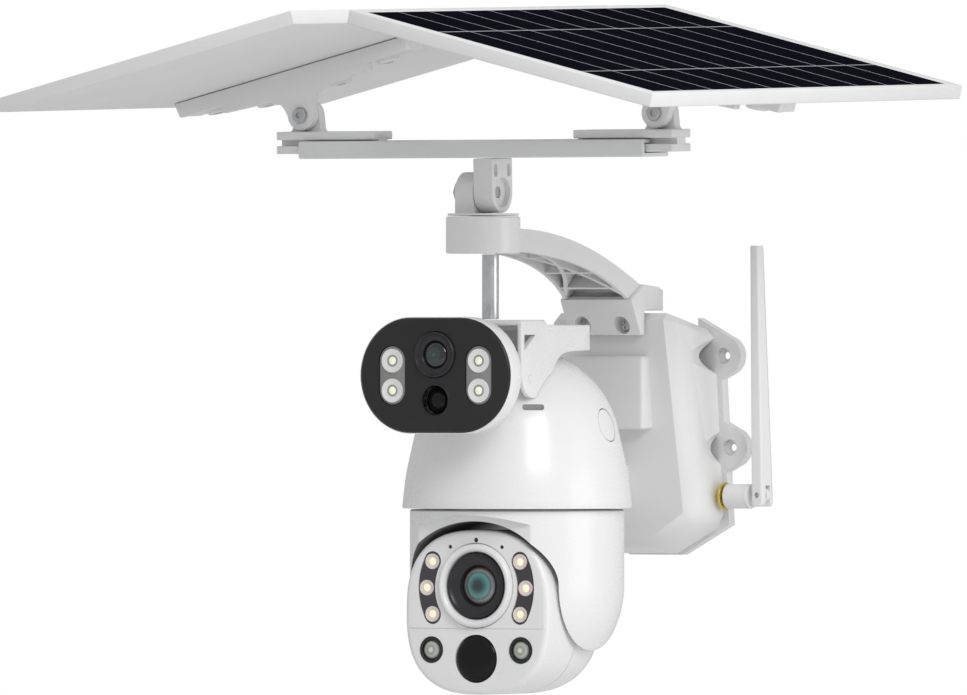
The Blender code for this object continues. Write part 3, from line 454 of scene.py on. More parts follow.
board = moulded("circuit_board", (0.02, 0.16, 0.07), 0.35, grain=2600.0, bump=0.25, uneven=0.2, coat=0.2)
wrap = moulded("cell_wrap", (0.06, 0.2, 0.52), 0.3, bump=0.05, uneven=0.12)


def cell_look():
    """Solar cells behind clear laminate: crystal tint, hair-fine silver fingers across each strip."""
    mat, tree, bsdf = shader("solar_cell", (0.006, 0.006, 0.012), 0.3)
    bsdf.inputs["Specular IOR Level"].default_value = 0.0
    links = tree.links
    vector = coordinates(tree)
    crystals = node(tree, "ShaderNodeTexVoronoi", Scale=120.0)
    links.new(vector, crystals.inputs["Vector"])
    tint = blend_colour(tree, crystals.outputs["Distance"], (0.0045, 0.0045, 0.007), (0.006, 0.006, 0.012))
    fingers = node(tree, "ShaderNodeTexWave", Scale=160.0, Distortion=0.0, bands_direction="Y")
    links.new(vector, fingers.inputs["Vector"])
    silver = spread(tree, fingers.outputs["Fac"], 0.0, 0.5, 0.9, 1.0)
    links.new(blend_colour(tree, silver, tint, (0.01, 0.01, 0.015)), bsdf.inputs["Base Color"])
    links.new(spread(tree, noise(tree, vector, 60.0), 0.26, 0.36), bsdf.inputs["Roughness"])
    relief(tree, bsdf, noise(tree, vector, 30.0, 2.0), 0.03, 0.0002)
    return mat


cell = cell_look()
cell_line = moulded("cell_line", (0.46, 0.45, 0.5), 0.35, bump=0.02, soft=0.0001)


# Wall plate: chamfered outline with four teardrop ears
BOX_BACK = [(0.0407, 0.0622), (0.0467, -0.0455), (0.0165, -0.0622)]
BOX_FRONT = [(0.0385, 0.0732), (0.044, -0.0412), (0.0193, -0.0567)]
EARS = [(0.043, 0.0485), (0.047, -0.0025)]
PLATE_T = 0.0066


def ear_outline(x, z, side):
    points = [(x - 0.016, z - 0.021)] + arc((x, z), 0.011, -70, 70) + [(x - 0.016, z + 0.021)]
    return [(side * a, b) for a, b in points]


plate = slab("wall_plate_look", mirrored(BOX_BACK), -PLATE_T, 0, "XZ")
for x, z in EARS:
    for side in (-1, 1):
        join(plate, slab("ear", ear_outline(x, z, side), -PLATE_T, 0, "XZ"))
bake(plate)
for x, z in EARS:
    for side in (-1, 1):
        at = side * x
        cut(plate, forward("hole", 0.0022, -0.02, 0.01, (at, z), 32))
        cut(plate, forward("sink", 0.0044, -0.02, -0.0026, (at, z), 48))
place(plate, "housing", white, "rear_cover")


# Battery box: two unlike outlines lofted into each other, the front one leaning back
def box_loft(name, inset):
    back = mirrored([(x - inset, z - math.copysign(inset, z)) for x, z in BOX_BACK])
    front = mirrored([(x - inset, z - math.copysign(inset, z)) for x, z in BOX_FRONT])
    lean = [(x, -0.0588 + inset + (0.0732 - z) * 0.124, z) for x, z in front]
    mouth = -PLATE_T - GAP if not inset else 0.002
    return loft(name, [[(x, mouth, z) for x, z in back], lean])


battery = box_loft("battery_box_look", 0)
rounding = battery.modifiers.new("rounding", "BEVEL")
rounding.width = 0.005
rounding.segments = 1
rounding.limit_method = "ANGLE"
rounding.angle_limit = math.radians(50)
bake(battery)
for x, z in EARS:
    reach = -0.044 if z > 0.02 else -0.036
    for side in (-1, 1):
        at = side * (x + 0.0015)
        cut(battery, forward("scoop", 0.0135, 0.001, reach, (at, z), 96, 0.0036))
step = box("step", (-0.0231, -0.0627, 0.0077), (0.0231, -0.03, 0.0484), 0.0022, 4)
join(battery, step, box("neck", (-0.006, -0.115, -0.031), (0.006, -0.03, -0.012), 0.0008))
dome_space = arc((0, DOME_CENTRE_Z), DOME_R + 0.0006, 90, 12, 40)
dome_space[0] = (0, dome_space[0][1])
dome_space += [(r + 0.0006, z) for r, z in DOME_SIDE] + [(SKIRT_R + 0.0006, SKIRT_Z), (0, SKIRT_Z)]
cut(battery, turned("dome_space", dome_space, (0, DOME_Y, 0), 128))
cut(battery, box_loft("box_hollow", 0.0045))
place(battery, "housing", white, "battery_box", angle=38)


# Arm: a curved channel, open below, with crossed ribs in it
ARM_TOP = [(-0.19, 0.1183), (-0.135, 0.119), (-0.095, 0.105), (-0.06, 0.0875)]
ARM_LOW = [(-0.19, 0.106), (-0.135, 0.104), (-0.098, 0.096), (-0.0745, 0.08)]
ARM_WIDTH = (0.0115, 0.0205)


def bezier(points, t):
    a, b, c, d = (Vector(p) for p in points)
    return a * (1 - t) ** 3 + b * 3 * t * (1 - t) ** 2 + c * 3 * t * t * (1 - t) + d * t**3


def arm_half(t):
    return ARM_WIDTH[0] + (ARM_WIDTH[1] - ARM_WIDTH[0]) * t


def arm_loft(name, top_inset, side_inset, drop):
    rings = []
    for i in range(33):
        t = i / 32
        top, low = bezier(ARM_TOP, t), bezier(ARM_LOW, t)
        half = arm_half(t) - side_inset
        down = (low - top).normalized()
        head, foot = top + down * top_inset, low + down * drop
        rings.append([(-half, *foot), (half, *foot), (half, *head), (-half, *head)])
    return loft(name, rings)


def arm_rib(name, start, end, sunk=0.0006):
    """A thin wall in the channel that runs from one (across, along) point to another."""
    rings = []
    for i in range(13):
        s = i / 12
        t = start[1] + (end[1] - start[1]) * s
        middle = (start[0] + (end[0] - start[0]) * s) * (arm_half(t) - 0.0014)
        top, low = bezier(ARM_TOP, t), bezier(ARM_LOW, t)
        down = (low - top).normalized()
        head, foot = top + down * 0.0015, low - down * sunk
        near = Vector((end[0] - start[0], (end[1] - start[1]) * 6)).normalized() * 0.0012
        dx, dt = near.y, -near.x * 8
        run = bezier(ARM_TOP, min(1, t + 0.01)) - bezier(ARM_TOP, max(0, t - 0.01))
        shift = run.normalized() * dt * 0.12
        near_side, far_side = middle - dx, middle + dx
        ring = [(near_side, *(foot - shift)), (far_side, *(foot + shift))]
        rings.append(ring + [(far_side, *(head + shift)), (near_side, *(head - shift))])
    return loft(name, rings)


arm = arm_loft("solar_arm_look", 0, 0, 0)
foot = [(-0.0745, 0.0795), (-0.064, 0.06), (-0.0594, 0.06), (-0.0594, 0.0736), (-0.0385, 0.0736)]
foot += [(-0.0385, 0.085), (-0.045, 0.0868), (-0.06, 0.088)]
join(arm, slab("arm_foot", foot, -0.0228, 0.0228, "YZ", 0.0006))
for side in (-1, 1):
    for low_y, high_y in ((-0.056, -0.052), (-0.0455, -0.0425)):
        low, high = sorted((side * 0.0222, side * 0.0228))
        join(arm, box("foot_rib", (low, low_y, 0.074), (high, high_y, 0.0866)))
cut(arm, arm_loft("arm_channel", 0.0026, 0.0022, 0.004))
bake(arm)
join(arm, arm_rib("rib_a", (-1, 0.1), (1, 0.97)), arm_rib("rib_b", (1, 0.1), (-1, 0.97)))
for t in (0.34, 0.66, 0.88):
    join(arm, arm_rib("rib_c", (-1, t), (1, t)))
cut(arm, upward("collar_room", COLLAR_R + GAP, 0.09, 0.14, (0, MAST_Y), 96))
for side in (-1, 1):
    cut(arm, forward("recess", 0.0048, -0.09, -0.0612, (side * 0.0124, 0.0655), 48))
place(arm, "housing", white, "solar_arm")


def screw(name, at, radius, depth, body, stands_for):
    """A pan-headed screw with a cross recess, facing -Y."""
    dome = [(0, 1), (0.55, 0.94), (0.88, 0.62), (1, 0.3), (1, 0), (0, 0)]
    head = turned(name, [(r * radius, z * depth) for r, z in dome], at, 48, True)
    x, y, z = at
    wide = radius * 0.15
    for dx, dz in ((wide, radius * 0.55), (radius * 0.55, wide)):
        cut(head, box("cross", (x - dx, y - depth - 0.001, z - dz), (x + dx, y - depth * 0.45, z + dz)))
    place(head, body, zinc, stands_for)


for side, word in ((-1, "left"), (1, "right")):
    at = (side * 0.0124, -0.0616, 0.0655)
    screw(f"arm_screw_{word}_look", at, 0.0036, 0.002, "housing", f"arm_screw_{word}")

collar = [(0, COLLAR_Z[1]), (0.0196, COLLAR_Z[1]), (COLLAR_R, COLLAR_Z[1] - 0.0008)]
collar += [(COLLAR_R, COLLAR_Z[0] + 0.0008), (0.0196, COLLAR_Z[0]), (0, COLLAR_Z[0])]
collar = turned("mast_collar_look", collar, (0, MAST_Y, 0), 128)
cut(collar, upward("bore", 0.0072, COLLAR_Z[0] + 0.006, 0.13, (0, MAST_Y)))
place(collar, "housing", white_gloss, "mast_collar")
rod_y = MAST_Y + 0.008
rod = upward("support_rod_look", 0.0046, 0.0686, COLLAR_Z[0] - GAP, (0, rod_y), 96, soft=0.0004)
place(rod, "housing", steel, "support_rod")


# Mast joint: round-ended ears side by side on one bolt
def lug_outline(foot_z):
    up = foot_z > MAST_HINGE_Z
    bend = arc((MAST_Y, MAST_HINGE_Z), LUG_R, 180 if up else 0, 360 if up else 180, 40)
    return bend + [(bend[-1][0], foot_z), (bend[0][0], foot_z)]


clevis = upward(
    "mast_clevis_look", 0.0195, COLLAR_Z[1] + GAP, COLLAR_Z[1] + 0.0016, (0, MAST_Y), 96, soft=0.0003
)
join(clevis, upward("stem", 0.0069, COLLAR_Z[0] + 0.0065, COLLAR_Z[1] + 0.001, (0, MAST_Y)))
join(clevis, slab("ear", lug_outline(COLLAR_Z[1] + 0.0008), -LUG_T, -GAP / 2, "YZ", 0.0006))
cut(clevis, across("hole", 0.0032, -0.03, 0.01, (MAST_Y, MAST_HINGE_Z), 40))
place(clevis, "mast", white, "mast_clevis")

bolt = across("mast_bolt_look", 0.003, -LUG_T - 0.0012, 0.0092, (MAST_Y, MAST_HINGE_Z), 48, soft=0.0004)
hexagon = across("hex", 0.0062, -LUG_T - 0.004, -LUG_T - GAP, (MAST_Y, MAST_HINGE_Z), 6)
crown = across("crown", 0.0058, -LUG_T - 0.0042, -LUG_T + 0.004, (MAST_Y, MAST_HINGE_Z), 64, 0.0118)
boolean(hexagon, "INTERSECT", crown)
join(bolt, hexagon)
place(bolt, "mast", zinc, "mast_bolt")

lug_end = LUG_T + 0.0007
lug = slab("bar_lug_look", lug_outline(BAR_Z - GAP), GAP / 2, lug_end, "YZ", 0.0006)
cut(lug, across("hole", 0.0032, -0.01, 0.03, (MAST_Y, MAST_HINGE_Z), 40))
cut(lug, across("recess", 0.0082, lug_end - 0.003, 0.03, (MAST_Y, MAST_HINGE_Z), 64))
for side in (-1, 1):
    y = MAST_Y + side * 0.0071
    outline = [(a, b) for b, a in stadium(0.0036, 0.0019, (0.1503, y), 10)]
    cut(lug, slab("slot", outline, lug_end - 0.002, 0.03, "YZ"))
place(lug, "bar", white, "bar_lug", HEAD_TURN)

half_long, half_wide = BAR[0] / 2, BAR[1] / 2
bar = box(
    "cross_bar_look",
    (-half_long, MAST_Y - half_wide, BAR_Z),
    (half_long, MAST_Y + half_wide, BAR_TOP),
    0.0011,
)
far, inner = half_long + 0.01, half_wide - 0.0022
cut(
    bar,
    box("hollow", (-far, MAST_Y - inner, BAR_Z + 0.0022), (far, MAST_Y + inner, BAR_TOP - 0.002)),
    box("mouth", (-far, MAST_Y - 0.0052, BAR_Z + 0.004), (far, MAST_Y + 0.0052, BAR_TOP + 0.01)),
)
place(bar, "bar", bar_white, "cross_bar", HEAD_TURN)


# Sliders, each with the rear half of a knuckle
def make_slider(side, word):
    half, width = SLIDER[0] / 2, SLIDER[1] / 2
    low, high = side * SLIDER_X - half, side * SLIDER_X + half
    body = box(
        f"slider_{word}_look",
        (low, MAST_Y - width, BAR_TOP + 0.0006),
        (high, MAST_Y + width, BAR_TOP + 0.0052),
        0.0007,
    )
    join(body, box("neck", (low, MAST_Y - 0.0046, BAR_Z + 0.006), (high, MAST_Y + 0.0046, BAR_TOP + 0.001)))
    flange = box(
        "flange", (low, MAST_Y - width, BAR_Z + 0.0027), (high, MAST_Y + width, BAR_Z + 0.0071), 0.0006
    )
    join(body, flange)
    x = side * PANEL_X
    ear = arc((x, PANEL_Z), KNUCKLE_R, 180, 0, 40)
    ear += [(x + KNUCKLE_R + 0.0004, BAR_TOP + 0.0085)]
    ear += arc((x + KNUCKLE_R + 0.0044, BAR_TOP + 0.0085), 0.004, 180, 270, 8)
    ear += arc((x - KNUCKLE_R - 0.0044, BAR_TOP + 0.0085), 0.004, -90, 0, 8)
    join(body, slab("ear", ear, MAST_Y + GAP / 2, MAST_Y + KNUCKLE_T, "XZ", 0.0005))
    cut(body, forward("hole", 0.0022, MAST_Y - 0.02, MAST_Y + 0.02, (x, PANEL_Z), 32))
    place(body, f"{word}_slider", white, f"slider_{word}", HEAD_TURN)
    front, back = MAST_Y - KNUCKLE_T, MAST_Y + KNUCKLE_T
    bolt = forward(f"hinge_bolt_{word}_look", 0.002, front - 0.001, back + 0.0012, (x, PANEL_Z), 32)
    join(bolt, forward("head", 0.0041, front - GAP, front - 0.0022, (x, PANEL_Z), 48, soft=0.0006))
    join(bolt, forward("nut", 0.0042, back + GAP, back + 0.0028, (x, PANEL_Z), 6))
    cut(bolt, forward("socket", 0.0019, front - 0.004, front - 0.0009, (x, PANEL_Z), 6))
    place(bolt, f"{word}_slider", zinc, f"hinge_bolt_{word}", HEAD_TURN)


# Panels: frame with a raised lip, a back sheet, and ten strips of cells in three bands
STRIPS = 10
BANDS = (0.0, 0.25, 0.75, 1.0)


def make_cells(name, x0, x1, y0, y1, low, high):
    """A thin sheet whose top has cells (slot 0), fine lines between them (1) and a plain rim (2)."""
    margin_x, margin_y, line, wide = 0.0046, 0.0092, 0.0009, 0.0011
    xs = [x0, x0 + margin_x]
    span = x1 - x0 - 2 * margin_x
    for share in BANDS[1:-1]:
        at = x0 + margin_x + span * share
        xs += [at - wide / 2, at + wide / 2]
    xs += [x1 - margin_x, x1]
    ys = [y0, y0 + margin_y]
    run = y1 - y0 - 2 * margin_y
    for i in range(1, STRIPS):
        at = y0 + margin_y + run * i / STRIPS
        ys += [at - line / 2, at + line / 2]
    ys += [y1 - margin_y, y1]
    bm = bmesh.new()
    grid = [[bm.verts.new((x, y, high)) for y in ys] for x in xs]
    for i in range(len(xs) - 1):
        for j in range(len(ys) - 1):
            face = bm.faces.new((grid[i][j], grid[i + 1][j], grid[i + 1][j + 1], grid[i][j + 1]))
            rim = i in (0, len(xs) - 2) or j in (0, len(ys) - 2)
            gap = i % 2 == 0 or j % 2 == 0
            face.material_index = 2 if rim else 1 if gap else 0
    edge = [e for e in bm.edges if e.is_boundary]
    made = bmesh.ops.extrude_edge_only(bm, edges=edge)
    lower = [v for v in made["geom"] if isinstance(v, bmesh.types.BMVert)]
    for v in lower:
        v.co.z = low
    bmesh.ops.contextual_create(bm, geom=[e for e in bm.edges if e.is_boundary])
    return add(name, bm)


def make_panel(side, word):
    length, width, thick = PANEL
    top = PANEL_Z + PANEL_TOP
    x = side * (PANEL_X - PANEL_SHIFT)
    under = top - thick
    low_x, high_x, low_y, high_y = x - length / 2, x + length / 2, MAST_Y - width / 2, MAST_Y + width / 2
    body = f"{word}_panel"
    surround = box(f"panel_frame_{word}_look", (low_x, low_y, under), (high_x, high_y, top), 0.0007)
    rim = 0.001
    cut(
        surround,
        box("well", (low_x + rim, low_y + rim, top - 0.0034), (high_x - rim, high_y - rim, top + 0.01)),
    )
    place(surround, body, panel_white, f"panel_frame_{word}", PANEL_TURN[side])
    rim += 0.0002
    cells = make_cells(
        f"cells_{word}_look", low_x + rim, high_x - rim, low_y + rim, high_y - rim, top - 0.003, top - 0.0003
    )
    place(cells, body, [cell, cell_line, panel_white], f"solar_cells_{word}", PANEL_TURN[side])
    hx = side * PANEL_X
    low = under - GAP
    beam = [(hx - 0.077, low), (hx + 0.076, low), (hx + 0.0745, low - 0.008), (hx + 0.048, low - 0.0085)]
    foot = [(0.048, low - 0.0125), (0.018, low - 0.014), (0.0112, low - 0.017)]
    foot += [(KNUCKLE_R + 0.001, PANEL_Z + 0.0055)]
    beam += [(hx + out, z) for out, z in foot] + arc((hx, PANEL_Z), KNUCKLE_R, 10, -190, 48)
    beam += [(hx - out, z) for out, z in reversed(foot)] + [(hx - 0.048, low - 0.0085)]
    beam += [(hx - 0.0755, low - 0.008)]
    front = MAST_Y - KNUCKLE_T
    carrier = slab(f"carrier_{word}_look", beam, front, MAST_Y - GAP / 2, "XZ", 0.0006)
    join(carrier, box("beam", (hx - 0.074, MAST_Y - 0.006, low - 0.0078), (hx + 0.074, MAST_Y + 0.013, low)))
    pairs = ((0.024, 0.0145), (0.056, 0.0105))
    bosses = [(hx + step * out, low - deep) for step in (-1, 1) for out, deep in pairs]
    for x, end in bosses:
        join(carrier, upward("boss", 0.0062, low - 0.002, end, (x, MAST_Y + 0.004), 48, soft=0.0008))
    bake(carrier)
    for x, end in bosses:
        cut(carrier, upward("boss_hole", 0.003, end - 0.002, end + 0.004, (x, MAST_Y + 0.004), 32))
    cut(carrier, forward("hole", 0.0022, MAST_Y - 0.02, MAST_Y + 0.02, (hx, PANEL_Z), 32))
    cut(carrier, forward("seat", 0.0046, front - 0.01, front + 0.0003, (hx, PANEL_Z), 48))
    place(carrier, body, white, f"panel_carrier_{word}", PANEL_TURN[side])


for side, word in ((-1, "left"), (1, "right")):
    make_slider(side, word)
    make_panel(side, word)


# Dome shell, with the round card cover let into its side
def dome_profile(extra, steps=48):
    crown = arc((0, DOME_CENTRE_Z), DOME_R + extra, 90, 12, steps)
    crown[0] = (0, crown[0][1])
    low = [(SKIRT_R - 0.0001, SKIRT_Z + 0.0008), (SKIRT_R - 0.0005, SKIRT_Z)]
    return crown + [(r + extra, z) for r, z in DOME_SIDE + low]


def dome_shell(name, shrink=0):
    return turned(name, dome_profile(-shrink) + dome_profile(-WALL)[::-1], (0, DOME_Y, 0), 160)


COVER_TURN, COVER_RISE = math.radians(4.5), math.radians(14.7)
level = Vector((math.cos(COVER_RISE), 0, math.sin(COVER_RISE)))
cover_axis = Matrix.Rotation(COVER_TURN, 3, "Z") @ level
dome_centre = Vector((0, DOME_Y, DOME_CENTRE_Z))


def cover_plug(name, radius):
    return cylinder(name, radius, dome_centre + cover_axis * 0.04, dome_centre + cover_axis * 0.07, 64)


dome = dome_shell("dome_cap_look")
slot = box("slot", (-0.006, -0.06, 0.0188), (0.006, -0.04, 0.022), 0.0012)
# Painted shade: a mid-grey strip set a little below the surface in the slot stands in for the shadow inside
# it
slot_shade = box("dome_slot_shade_look", (-0.0062, -0.0502, 0.0186), (0.0062, -0.0488, 0.0222))
for obj in (slot, slot_shade):
    obj.data.transform(Matrix.Translation((0, DOME_Y, 0)) @ Matrix.Rotation(math.radians(39.8), 4, "Z"))
cut(dome, cover_plug("cover_hole", 0.0096), slot)
# The slot's painted shade strip hangs on the housing
place(slot_shade, "housing", pocket_grey)
place(dome, "housing", white_gloss, "dome_cap", angle=40)
cover = dome_shell("card_cover_look", 0.0002)
boolean(cover, "INTERSECT", cover_plug("cover_shape", 0.009))
place(cover, "housing", white_gloss, "card_cover", angle=40)


# Bracket over the dome: a deck and two cheeks that sweep down to the camera's pivot
def swept(points, steps=6):
    """The same run of points with its corners smoothed."""
    run = [Vector(p) for p in points]
    smooth = [tuple(run[0])]
    for before, at, after in zip(run, run[1:], run[2:]):
        start, end = (before + at) / 2, (at + after) / 2
        for i in range(steps):
            t = i / steps
            smooth.append(tuple(start * (1 - t) ** 2 + at * 2 * t * (1 - t) + end * t * t))
    return smooth + [tuple(run[-1])]


cheek_low = [(-0.1388, 0.0515), (-0.164, 0.051), (-0.173, 0.048), (-0.1815, 0.0385), (-0.188, 0.0305)]
cheek_low += [(-0.1955, 0.0262), (-0.201, 0.025), (-0.2085, 0.0268), (-0.2138, 0.0345), (-0.2143, 0.043)]
cheek = [(-0.1388, 0.065)] + swept(cheek_low) + [(-0.2143, 0.0676), (-0.1882, 0.0676), (-0.1852, 0.065)]
bracket = box("upper_bracket_look", (-CHEEK_X[1], -0.2145, 0.065), (CHEEK_X[1], -0.1872, 0.0682), 0.0014)
join(bracket, box("deck", (-CHEEK_X[1], -0.188, 0.0625), (CHEEK_X[1], -0.1386, 0.0655), 0.0008))
for side in (-1, 1):
    low, high = sorted((side * CHEEK_X[0], side * (CHEEK_X[1] - 0.0002)))
    join(bracket, slab("cheek", cheek, low, high, "YZ", 0.0005))
join(bracket, upward("post", 0.015, 0.04, 0.064, (0, DOME_Y), 64))
bake(bracket)
cut(bracket, slab("slot", [(-0.2112, 0.06), (-0.199, 0.06), (-0.2112, 0.0515)], -0.05, 0.05, "YZ"))
cut(bracket, turned("dome_room", dome_space, (0, DOME_Y, 0), 128))
for side, word in ((-1, "left"), (1, "right")):
    cut(bracket, across("hole", 0.0023, side * 0.02, side * 0.04, UPPER_PIVOT, 32))
    start, end = sorted((side * 0.027, side * 0.0332))
    pin = across(f"upper_pin_{word}_look", 0.0022, start, end, UPPER_PIVOT, 40)
    place(pin, "housing", white_gloss, f"upper_pin_{word}")
place(bracket, "housing", white_gloss, "upper_bracket", angle=40)


# Upper camera
upper_width, upper_height = UPPER


def seat(target, name, radius, front, at, sides):
    """Cut a round seat right through the wall whose front is at a given y."""
    cut(target, forward(name, radius, front - 0.01, front + 0.01, at, sides))


def upper_loft(name, steps):
    rings = []
    for y, less in steps:
        outline = stadium(upper_width + 0.0009 - less, upper_height + 0.0009 - less, (0, UPPER_Z), 40)
        rings.append([(x, y, z) for x, z in outline])
    return loft(name, rings)


rim = [(UPPER_Y + 0.0008, 0.0005), (UPPER_Y + 0.0011, 0.0001), (UPPER_Y + 0.0016, 0)]
back = [(-0.2405, 0), (-0.2395, 0.0004), (-0.2386, 0.0014), (-0.2381, 0.003), (-0.2378, 0.007)]
back += [(-0.2371, 0.01), (-0.2355, 0.0106), (-0.2235, 0.0112), (-0.2227, 0.0118), (-0.2225, 0.013)]
housing = upper_loft("upper_housing_look", rim + back)
for side in (-1, 1):
    start, end = sorted((side * 0.024, side * 0.0297))
    join(housing, box("arm", (start, -0.23, 0.0312), (end, -0.2045, 0.0408), 0.0006))
    join(housing, across("lug", 0.0048, start, end, UPPER_PIVOT, 48))
bake(housing)
hollow = [(UPPER_Y - 0.002, 0.0009 - GAP), (UPPER_Y + 0.0028, 0.0009 - GAP), (UPPER_Y + 0.0029, 0.0034)]
hollow += [(-0.24, 0.0034), (-0.2398, 0.015), (-0.226, 0.0155)]
cut(housing, upper_loft("hollow", hollow))
for side in (-1, 1):
    cut(housing, across("hole", 0.0026, side * 0.018, side * 0.035, UPPER_PIVOT, 32))
place(housing, "upper_camera", white_gloss, "upper_housing", angle=40)

lens_z, pir_z = UPPER_Z + 0.0113, UPPER_Z - 0.0137
face = [(UPPER_Y + 0.0002, 0.0016), (UPPER_Y + 0.0008, 0.0009), (UPPER_Y + 0.0024, 0.0009)]
plate = upper_loft("upper_faceplate_look", face)
lip = [(0.008, 0.0004), (0.0083, 0.0008), (0.0092, 0.0006), (0.0095, -0.0001), (0.0095, -0.001)]
lip += [(0.008, -0.001), (0.008, 0.0004)]
join(plate, turned("pir_lip", lip, (0, UPPER_Y + 0.0006, pir_z), 96, True))
bake(plate)
seat(plate, "lens_seat", 0.0128, UPPER_Y, (0, lens_z), 96)
seat(plate, "pir_seat", 0.0082, UPPER_Y, (0, pir_z), 64)
for side in (-1, 1):
    outline = [(side * UPPER_LAMP_X + b, UPPER_Z + a) for a, b in stadium(0.0163, 0.0083)]
    cut(plate, slab("lamp_seat", outline, UPPER_Y - 0.01, UPPER_Y + 0.01, "XZ"))
place(plate, "upper_camera", black, "upper_faceplate")

# Heights count forward from the lens's seat plane
tube = [(0.0112, 0.001), (0.0116, 0.0015), (0.0122, 0.0013), (0.0125, 0.0006), (0.0125, -0.009), (0, -0.009)]
tube += [(0, -0.0045), (0.0074, -0.0045), (0.0076, -0.0004), (0.0082, 0.0002), (0.0108, 0.0004)]
tube += [(0.0112, 0.001)]
barrel = turned("upper_lens_barrel_look", tube, (0, UPPER_Y, lens_z), 96, True)
place(barrel, "upper_camera", lens_black, "upper_lens_barrel", angle=50)
glass = [(0, 0.0012), (0.002, 0.001), (0.004, 0.0006), (0.006, -0.0001), (0.0073, -0.001)]
glass = turned("upper_lens_look", glass + [(0.0073, -0.004), (0, -0.004)], (0, UPPER_Y, lens_z), 96, True)
# The light teal at the very centre, gone by 0.9 mm, is a painted glint; the dark teal and near-black rings
# are the glass's own colour
stops = [(0.0, (0.1, 0.16, 0.16)), (0.0009, (0.02, 0.05, 0.05)), (0.0035, (0.02, 0.04, 0.04))]
stops += [(0.0042, (0.012, 0.014, 0.015)), (0.0074, (0.01, 0.011, 0.012))]
look = radial("upper_glass_painted_glint", (0, 0, lens_z), stops, 0.05, 0.8)
place(glass, "upper_camera", look, "upper_lens", angle=60)
sensor = arc((0, -0.0046), 0.0076, 90, 28, 20) + [(0.0078, -0.0012), (0.0078, -0.006), (0, -0.006)]
sensor[0] = (0, sensor[0][1])
sensor = turned("upper_motion_sensor_look", sensor, (0, UPPER_Y + 0.004, pir_z), 64, True)
place(sensor, "upper_camera", black_gloss, "upper_motion_sensor", angle=50)


def reflector(name, at, radius, depth, rise, mats, body, centre_share=0.42):
    """A bright bowl, mats[0], whose flat floor is mats[1], and a domed emitter in it, mats[2]."""
    bowl = [(0, 0), (radius * 0.5, 0), (radius * 0.62, 0.0001), (radius * 0.8, 0.0004)]
    bowl += [(radius * 0.92, 0.0007), (radius * 0.97, 0.0007), (radius, 0.0004)]
    bowl = [(r, depth + z) for r, z in bowl] + [(radius, -0.0003), (0, -0.0003)]
    made = turned(name, bowl, at, 48, True)
    core = radius * centre_share
    dome = [(0, rise), (core * 0.5, rise * 0.88), (core * 0.87, rise * 0.5), (core, 0.00005)]
    dome = [(r, depth + z) for r, z in dome + [(core, -0.0002), (0, -0.0002)]]
    emitter = turned(f"{name}_emitter", dome, at, 48, True)
    for poly in made.data.polygons:
        out = math.hypot(poly.center.x - at[0], poly.center.z - at[2])
        poly.material_index = 1 if out < radius * 0.52 else 0
    place(made, body, mats[:2], angle=50)
    place(emitter, body, mats[2], angle=60)


bowl_white = moulded("lamp_bowl", (0.86, 0.86, 0.84), 0.22, bump=0.02, coat=0.5, uneven=0.05)
bowl_ring = moulded("lamp_ring", (0.34, 0.34, 0.31), 0.4, bump=0.05)
for side, word in ((-1, "left"), (1, "right")):
    outline = [(side * UPPER_LAMP_X + b * 0.96, UPPER_Z + a * 0.98) for a, b in stadium(0.0163, 0.0083)]
    window = slab(f"upper_led_{word}_look", outline, UPPER_Y + 0.0008, UPPER_Y + 0.0024, "XZ", 0.0002)
    place(window, "upper_camera", pocket_grey, f"upper_led_{word}")
    for i, rise in enumerate((0.008, -0.0083)):
        at = (side * UPPER_LAMP_X, UPPER_Y + 0.0008, UPPER_Z + rise)
        stops = [(0.0, (0.95, 0.92, 0.62)), (0.0016, (0.93, 0.93, 0.78)), (0.0028, (0.7, 0.72, 0.62))]
        chip = radial(f"upper_chip_{word}_{i}", (at[0], 0, at[2]), stops, 0.1, 0.5, 0.25)
        mats = [bowl_white, bowl_ring, chip]
        reflector(f"upper_lamp_{word}_{i}", at, 0.0066, 0.0001, 0.0007, mats, "upper_camera", 0.34)


# Yoke: a capsule with an arch through it and a flat front
capsule = [(0, YOKE_TOP_Z), (YOKE_R - 0.0008, YOKE_TOP_Z), (YOKE_R, YOKE_TOP_Z - 0.0008)]
capsule += arc((0, YOKE_ROUND_Z), YOKE_R, 0, -90, 48)
capsule[-1] = (0, capsule[-1][1])
yoke = turned("yoke_look", capsule, (0, DOME_Y, 0), 192)
arch = [(YOKE_INSIDE, -0.15)]
arch += [(YOKE_INSIDE * c, YOKE_ROUND_Z + YOKE_ARCH * s) for c, s in arc((0, 0), 1, 0, 180, 72)]
arch += [(-YOKE_INSIDE, -0.15)]
cut(yoke, slab("arch", arch, DOME_Y - 0.08, DOME_Y + 0.08, "XZ"))
facet = [(0.05, -0.15)] + arc((0, -0.1531), 0.1146, 64, 116, 64) + [(-0.05, -0.15)]
cut(yoke, slab("front", facet, DOME_Y - 0.12, DOME_Y - 0.047, "XZ"))
pocket = box("pocket", (0.04, DOME_Y - 0.0115, TILT_Z - 0.0075), (0.052, DOME_Y + 0.0115, TILT_Z + 0.0225))
cut(yoke, pocket, across("bearing", 0.0046, -0.054, -0.04, (DOME_Y, TILT_Z), 40))
join(yoke, upward("pan_shaft", 0.006, YOKE_TOP_Z - 0.002, -0.0282, (0, DOME_Y), 40))
bake(yoke)
# Painted shade: faces on the upper curve of the arch's inside get a dark grey material that stands in for
# the shadow there
for poly in yoke.data.polygons:
    x, z = poly.center.x / YOKE_INSIDE, (poly.center.z - YOKE_ROUND_Z) / YOKE_ARCH
    poly.material_index = 1 if z > 0.05 and abs(math.hypot(x, z) - 1) < 0.02 else 0
shade = moulded("yoke_arch_painted_shade", (0.2, 0.2, 0.205), 0.55, bump=0.06)
place(yoke, "yoke", [white_gloss, shade], "yoke", angle=40)


